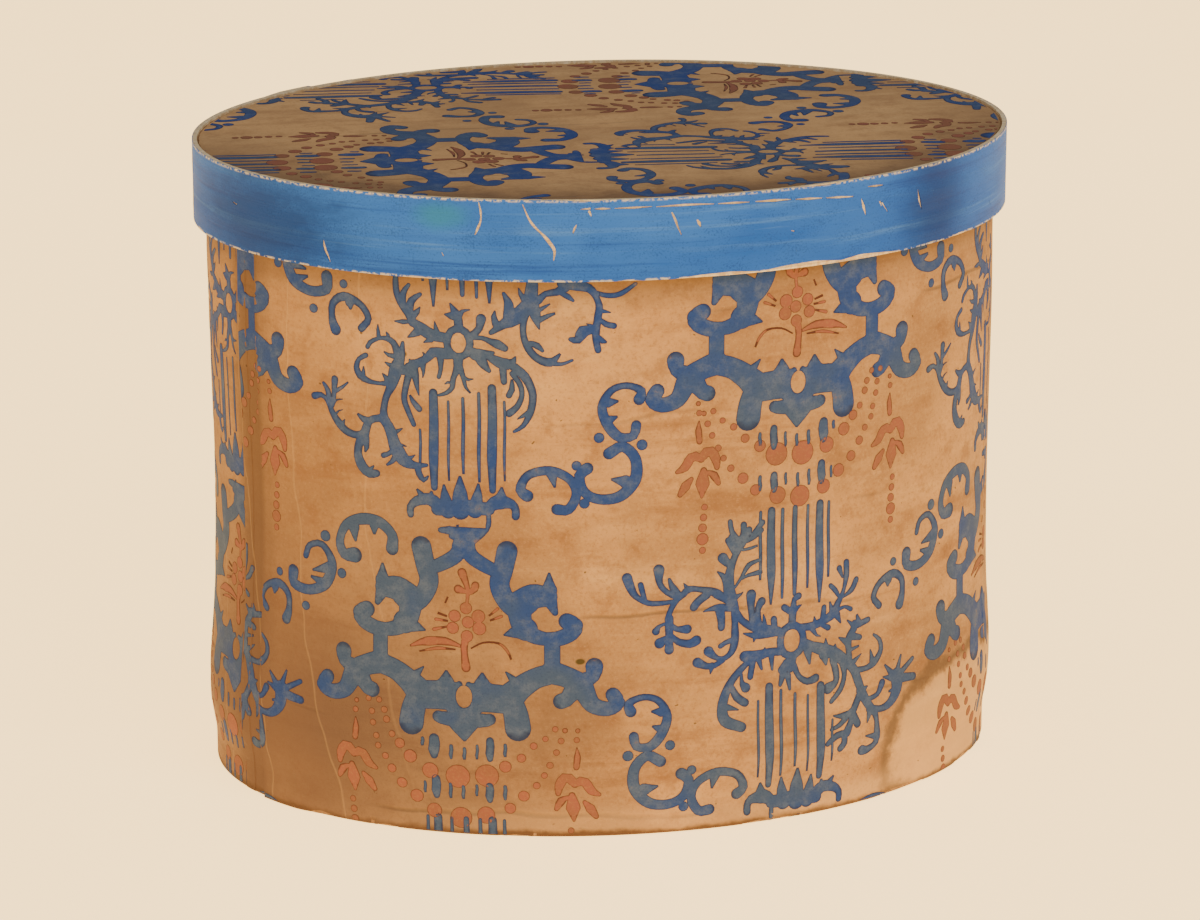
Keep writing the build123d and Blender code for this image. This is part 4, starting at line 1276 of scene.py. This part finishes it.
def cover_sheet(name, left, right, rise, node, seed, cuts=()):
    lift_columns = [left + d * mm for d in (8, 8.6)] + [right - d * mm for d in (8, 8.6)]
    flat, triangles = sheet_layout(left, right, wall_foot - turn_under, wall_top + board + turn_in,
                                   (lap_columns + lift_columns, fold_rows), seed=seed, cuts=cuts)
    lift = rise(flat[:, 0])
    item = closed_sheet(name, flat, triangles, folded(flat, 0, lift), folded(flat, cover, lift))
    item = wrapped(item, ground)
    hand_in(item, "box", "printed_wallpaper", node)


front_rise = lifted((sheet_left, sheet_left + paper_lap), (sheet_right - paper_lap, sheet_right))
right_rise = lifted((back_seam, back_seam + paper_lap))
flat_rise = lifted()
foot_tears = ("-196,0.6 -190,1.4 -183,1 / 0.6 2.2 0.6", "-158,0.2 -150,0.9 -141,0.4 / 0.4 1.4 0.4",
              "-92,0.4 -80,0.9 -71,0.3 / 0.4 1.2 0.4", "36,0.3 52,1.1 63,0.8 74,0.3 / 0.4 1.7 2.2 0.4",
              "120,0.3 138,1.3 152,0.9 163,0.3 / 0.4 2 2.6 0.4", "190,0.5 204,1.4 216,0.6 / 0.4 2.6 0.5")
cover_sheet("front_paper", sheet_left, sheet_right, front_rise, "wallpaper_front", 11, foot_tears)
cover_sheet("back_right_paper", sheet_right - paper_lap, back_seam + paper_lap, right_rise,
            "wallpaper_back_right", 21)
cover_sheet("back_left_paper", back_seam - perimeter, sheet_left + paper_lap, flat_rise,
            "wallpaper_back_left", 31)

back_right_column, back_left_column = -2.6 * mm, -602.6 * mm     # where the back sheets' columns start
hidden_start = 24 * mm                           # how much of the right sheet's start stays plain
front_bare = ((-180, 2, 5), (145, 3, 6), (-109, -8, 3), (60, 2, 3))
prints = (
    ("front", sheet_left + mm, sheet_right - mm, first_column - 2 * column_pitch, 3, front_rise, front_bare,
     "wallpaper_front"),
    ("back_right", sheet_right + hidden_start, back_seam + paper_lap - mm, back_right_column, 2,
    right_rise, (),
     "wallpaper_back_right"),
    ("back_left", back_seam - perimeter + paper_lap + mm, sheet_left - mm, back_left_column, 2,
    flat_rise, (),
     "wallpaper_back_left"),
)
for label, left, right, column, columns, rise, bare, node in prints:
    for colour, pair, finish in (("blue", blocks, blue), ("red", red_blocks, red)):
        item = wall_print(f"{label}_{colour}_print", pair, finish, left, right, column, columns, rise, bare)
        hand_in(item, "box", "printed_wallpaper", node)


def wall_shell():
    """The wall's pasteboard strip with its lapped end."""
    flat, triangles = sheet_layout(lap_end, lap_end + perimeter, wall_foot, wall_top, (lap_columns, ()),
                                   step=5, ragged=0.0)
    around, up = flat[:, 0], flat[:, 1]
    rise = np.where(around - lap_end < 60 * mm, lapped(np.maximum(around, lap_end + 1e-6)), 0)
    low = np.stack([around, up, settle(around, up)], axis=1)
    high = low + np.stack([0 * up, 0 * up, board + rise], axis=1)
    item = wrapped(closed_sheet("wall_shell", flat, triangles, low, high), card)
    hand_in(item, "box", "pasteboard", "wall_board")


def wall_lining(name, left, right, node, seed):
    """Lining sheet that steps over the turned-in wallpaper and laps over its neighbour at its right end."""
    lap = 6 * mm
    step_at = wall_top - turn_in
    flat, triangles = sheet_layout(left, right + lap, lining_low[2], lining_high[2],
                                   ([right, right - 0.5 * mm], [step_at - 1.6 * mm, step_at - 0.6 * mm]),
                                   seed=seed, ragged=0.3)
    around, up = flat[:, 0], flat[:, 1]
    out = -cover * np.clip((up - step_at + 1.6 * mm) / mm, 0, 1)
    out = out - lining * smooth(around, right - 0.5 * mm, right)
    out += settle(around, up) - 0.02 * mm
    high = np.stack([around, up, out], axis=1)
    item = wrapped(closed_sheet(name, flat, triangles, high - (0, 0, lining), high), rag)
    hand_in(item, "box", "lining_paper", node)


wall_shell()
lining_ends = [around_at(angle) for angle in lining_seams]
wall_lining("front_lining", lining_ends[1] - perimeter, lining_ends[0], "wall_lining_front", 41)
wall_lining("back_lining", lining_ends[0], lining_ends[1], "wall_lining_back", 43)


def lap_stitches():
    """The stitches in the wall strip's lap, moved with the wall."""
    points, triangles = arrays(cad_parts["wall_lap_thread"])
    turn = np.arctan2(points[:, 1] / inner_short, points[:, 0] / inner_long)
    table = np.linspace(-pi, -pi / 2, 400)
    walked = np.array([around_at(float(np.degrees(t))) for t in table])
    away = settle(np.interp(turn, table, walked), points[:, 2])
    moved = points + np.stack([np.cos(turn) * away, np.sin(turn) * away, 0 * away], axis=1)
    item = mesh_object("wall_lap_stitches", moved, triangles)
    item.data.materials.append(thread)
    work = bmesh.new()
    work.from_mesh(item.data)
    bmesh.ops.remove_doubles(work, verts=work.verts, dist=1e-6)
    work.to_mesh(item.data)
    work.free()
    hand_in(item, "box", "linen_thread", "wall_lap_thread")


lap_stitches()


# ---- the lid ------------------------------------------------------------------------------
rim_long, rim_short = rim_high[0], rim_high[1]
rim_board_thick = 2.2 * mm
rim_lap_flat, rim_lap_ramp = 20 * mm, 16 * mm     # the rim strip's lapped end, flat and then thinning out
rim_round = around_at(270, rim_long, rim_short)
rim_seam = around_at(120, rim_long, rim_short) - rim_round
rim_lap_at = around_at(128, rim_long, rim_short) - rim_round

# cracks and worn spots in the rim's paint, drawn like the print's strokes, in millimetres (round, up)
rim_cracks = (
    "-99,338.5 -98,334 -98,329 -99.5,325 -101,321.5 / 0.6 1.2 0.8 1.5 0.5",
    "-77,338 -74,331 -71,326.5 -66,321.5 -62.5,317 -61,314 -61.5,309 / 0.5 0.9 1.4 1 2 1.6 0.5",
    "-183,312.5 -182,308 -180.5,305 -179,301.5 / 0.5 1.6 1.2 0.5", "-50,327.5 -51,325.5 -51.8,323 / "
    "0.5 1.2 0.5",
    "-2,332.5 0,328 1,325 3,320.5 / 0.8 1.3 0.9 0.5", "104,329.5 105.5,325 107,320.5 / 0.5 1.9 0.5",
    "116,326.5 117.5,323.5 / 1.3 0.5", "117.5,325.5 121.6,320 / 0.9 0.4", "143,328.5 144,323 "
    "146,317.6 / 0.5 1.7 0.5",
    "11,328 12.2,326 13,324 / 0.6 1.9 0.6", "-43.6,334 -42.6,331.6 / 1.5 0.5",
    "-48,335.4 -43,335.6 / 0.5 1.2", "-41,335.4 -37,335.5 -33,335.4 / 0.5 1.3 0.5", "-31,335.5 "
    "-22,335.6 -12,335.8 / 0.5 1.2 0.5",
    "-10,335.6 6,335.8 20,335.4 / 0.5 1.3 0.5", "22,335.3 31,335.1 39,334.9 / 0.5 1.2 0.5",
    "42,334.8 52,334.5 62,334.1 / 0.6 1.6 0.6", "64,333.9 74,333.2 80,332.8 / 0.5 1.4 0.5",
    "82,332.6 90,332 99,331.2 / 0.5 1.2 0.5", "108,335.2 113,334.8 118,334.6 / 0.5 1.1 0.5",
    "-248,322 -244,321.4 / 0.5 0.8", "214,309 216,306 / 0.6 0.7", "-118,312 -117,310 / 0.4 0.7",
    "62,318 64,317.4 / 0.4 0.7",
    "-2,297.6 14,298.2 30,298.4 46,298.1 / 0.6 2.4 2.8 1", "44,298 60,298.7 78,298.9 92,298.3 / 1 3 "
    "3.6 1.4",
    "90,298.2 104,298.8 118,298.4 133,297.8 / 1.4 3.4 2.2 0.5", "-140,297.9 -128,298.2 -119,297.9 / "
    "0.3 1 0.3",
    "-30,297.9 -24,298.2 -17,297.9 / 0.3 1.1 0.3", "168,297.9 180,298.3 190,297.9 / 0.3 1.4 0.3",
    "-60,340.4 -44,340.1 -31,340.4 / 0.8 1.8 0.8", "61,340.4 84,340 97,340.4 / 0.8 1.8 0.8",
)


def rim_bump(around):
    """Rise of the rim over its strip's lapped end."""
    end = rim_lap_at + rim_lap_flat + rim_lap_ramp
    rise = np.clip((around - rim_lap_at) / (0.4 * mm) + 1, 0, 1)
    fall = np.clip((end - around) / rim_lap_ramp, 0, 1)
    return rim_board_thick * np.minimum(rise, fall) * (around < end)


def rim_band():
    """The blue paper round the rim, cracked and blistered."""
    lap = 6 * mm
    columns = [rim_lap_at - 0.4 * mm, rim_lap_at, rim_lap_at + rim_lap_flat,
               rim_lap_at + rim_lap_flat + rim_lap_ramp,
               rim_seam + rim_round - 0.6 * mm, rim_seam + rim_round]
    flat, triangles = sheet_layout(rim_seam, rim_seam + rim_round + lap, rim_low[2], rim_high[2],
                                   (columns, ()), step=3.5, ragged=0.3, seed=51, cuts=rim_cracks)
    around, up = flat[:, 0], flat[:, 1]
    over = cover * smooth(around, rim_seam + rim_round - 0.6 * mm, rim_seam + rim_round)
    middle = smooth(up, rim_low[2], rim_low[2] + 8 * mm) * (1 - smooth(up, rim_high[2] - 7 * mm, rim_high[2]))
    blister = np.maximum(0, np.sin(around * 61 + 2 * np.sin(up * 90)) * np.sin(up * 150 + around * 23) - 0.25)
    out = rim_out + rim_bump(around) + over + 0.02 * mm
    low = np.stack([around, up, out], axis=1)
    high = low + np.stack([0 * up, 0 * up, cover + 0.35 * mm * blister * middle - 0.02 * mm], axis=1)
    item = closed_sheet("rim_band", flat, triangles, low, high)
    item = finished(item, on_wall, {"Half length": rim_long, "Half width": rim_short,
                                    "Depth of the oval": rim_paper_out, "Finish": rim_paint})
    hand_in(item, "lid", "blue_paper", "lid_rim_paper")


rim_band()


def disc_height(x, y):
    """Top of the lid's wallpaper, which has lifted a little here and there."""
    away = np.hypot(x / disc_long, y / disc_short)
    soft = 0.5 + 0.5 * np.sin(x * 38 + 1.5 * np.sin(y * 29)) * np.sin(y * 47 + x * 11)
    return disc_high[2] + 0.42 * mm * soft * (1 - smooth(away, 0.75, 0.97))


def lid_paper():
    """The lid's oval of wallpaper, with a hand-cut edge."""
    turn = np.linspace(0, 2 * pi, 721)[:-1]
    inset = (0.25 + 0.25 * wobble(turn * 0.19, 61, (29.0, 13.0, 6.1, 3.3)))
    drawing = Drawing()
    long, short = disc_long / mm - inset, disc_short / mm - inset
    drawing.outline(np.stack([long * np.cos(turn), short * np.sin(turn)], axis=1))
    for x in np.arange(-212, 213, 4.0):
        for y in np.arange(-162, 163, 4.0):
            if hypot(x / (disc_long / mm - 2), y / (disc_short / mm - 2)) < 1:
                drawing.points.append((x, y))
    points, triangles, _ = drawing.mesh()
    flat = points * mm
    x, y = flat[:, 0], flat[:, 1]
    item = closed_sheet("lid_paper", flat, triangles, np.stack([x, y, 0 * x + disc_low[2]], axis=1),
                        np.stack([x, y, disc_height(x, y)], axis=1))
    item.data.materials.append(lid_ground)
    hand_in(item, "lid", "printed_wallpaper", "lid_wallpaper")


lid_print_along, lid_print_across, lid_print_turn = 80 * mm, -68 * mm, radians(-7)


def lid_print(name, pair, finish):
    """The pattern on the lid lies crosswise and a little askew: its columns run along the lid."""
    raw = repeated_print(name + "_flat", pair, 2, (-2 * column_pitch, -row_pitch, 0))
    points, _ = arrays(raw)
    along, across = points[:, 1] + lid_print_along, lid_print_across - points[:, 0]
    turn = lid_print_turn
    placed = np.stack([along * cos(turn) - across * sin(turn),
                       along * sin(turn) + across * cos(turn), points[:, 2]], axis=1)
    raw.data.vertices.foreach_set("co", placed.ravel())
    long, short = disc_long - 1.2 * mm, disc_short - 1.2 * mm

    def share(p):
        return np.hypot(p[:, 0] / long, p[:, 1] / short)

    flat, triangles, edge = trimmed(raw, lambda p: share(p) < 1,
                                    lambda p: p / np.maximum(share(p), 1)[:, None])
    bpy.data.objects.remove(raw)
    x, y = flat[:, 0], flat[:, 1]
    top = disc_height(x, y)
    item = closed_sheet(name, flat, triangles, np.stack([x, y, top + print_under], axis=1),
                        np.stack([x, y, top + print_over], axis=1), {"edge": edge})
    item.data.materials.append(finish)
    hand_in(item, "lid", "printed_wallpaper", "lid_wallpaper")


lid_ground = wallpaper_ground(False)
lid_paper()
lid_print("lid_blue_print", blocks, blue)
lid_print("lid_red_print", red_blocks, red)
for item in blocks + red_blocks:
    bpy.data.objects.remove(item)

# pieces taken over from the design as they are
finishes = {"base_paper": rag, "bottom_board": card, "floor_lining": rag, "bottom_thread": thread,
            "lid_rim_board": rim_card, "lid_top_board": card, "lid_rim_lining": rag,
            "lid_top_lining": rag, "lid_lap_thread": thread, "lid_top_thread": thread}
for name, finish in finishes.items():
    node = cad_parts[name]
    if not node.material_slots:
        node.data.materials.append(finish)
    for place in node.material_slots:
        place.material = finish

# ---- floor, light and camera --------------------------------------------------------------
size = 8.0
corners = [(-size, -size, 0), (size, -size, 0), (size, size, 0), (-size, size, 0)]
floor = mesh_object("floor", corners, [(0, 1, 2, 3)])
floor.data.materials.append(floor_paper())


def lamp(name, place, aim, power, wide):
    """An area light at place that looks at aim."""
    light = bpy.data.lights.new(name, "AREA")
    light.energy, light.shape, light.size, light.size_y = power, "RECTANGLE", wide, wide * 0.7
    item = bpy.data.objects.new(name, light)
    item.location = place
    item.rotation_euler = (Vector(aim) - Vector(place)).to_track_quat("-Z", "Y").to_euler()
    bpy.context.scene.collection.objects.link(item)


lamp("key", (0.9, -2.2, 2.1), (0, 0, 0.15), 30, 1.8)
lamp("fill", (-2.0, -1.2, 1.3), (0, 0, 0.15), 6, 2.0)
world = bpy.data.worlds.new("studio")
bpy.context.scene.world = world
world.use_nodes = True
world.node_tree.nodes["Background"].inputs[0].default_value = tint(252, 246, 236)
world.node_tree.nodes["Background"].inputs[1].default_value = 0.42

lens = bpy.data.cameras.new("camera")
lens.sensor_width, lens.lens = 36, 154.5
camera = bpy.data.objects.new("camera", lens)
camera_aim = Vector((-0.00115, 0.00026, 0.1557))
camera.location = (-0.5873, -2.5981, 0.9388)
camera.rotation_euler = (camera_aim - camera.location).to_track_quat("-Z", "Y").to_euler()
bpy.context.scene.collection.objects.link(camera)
bpy.context.scene.camera = camera
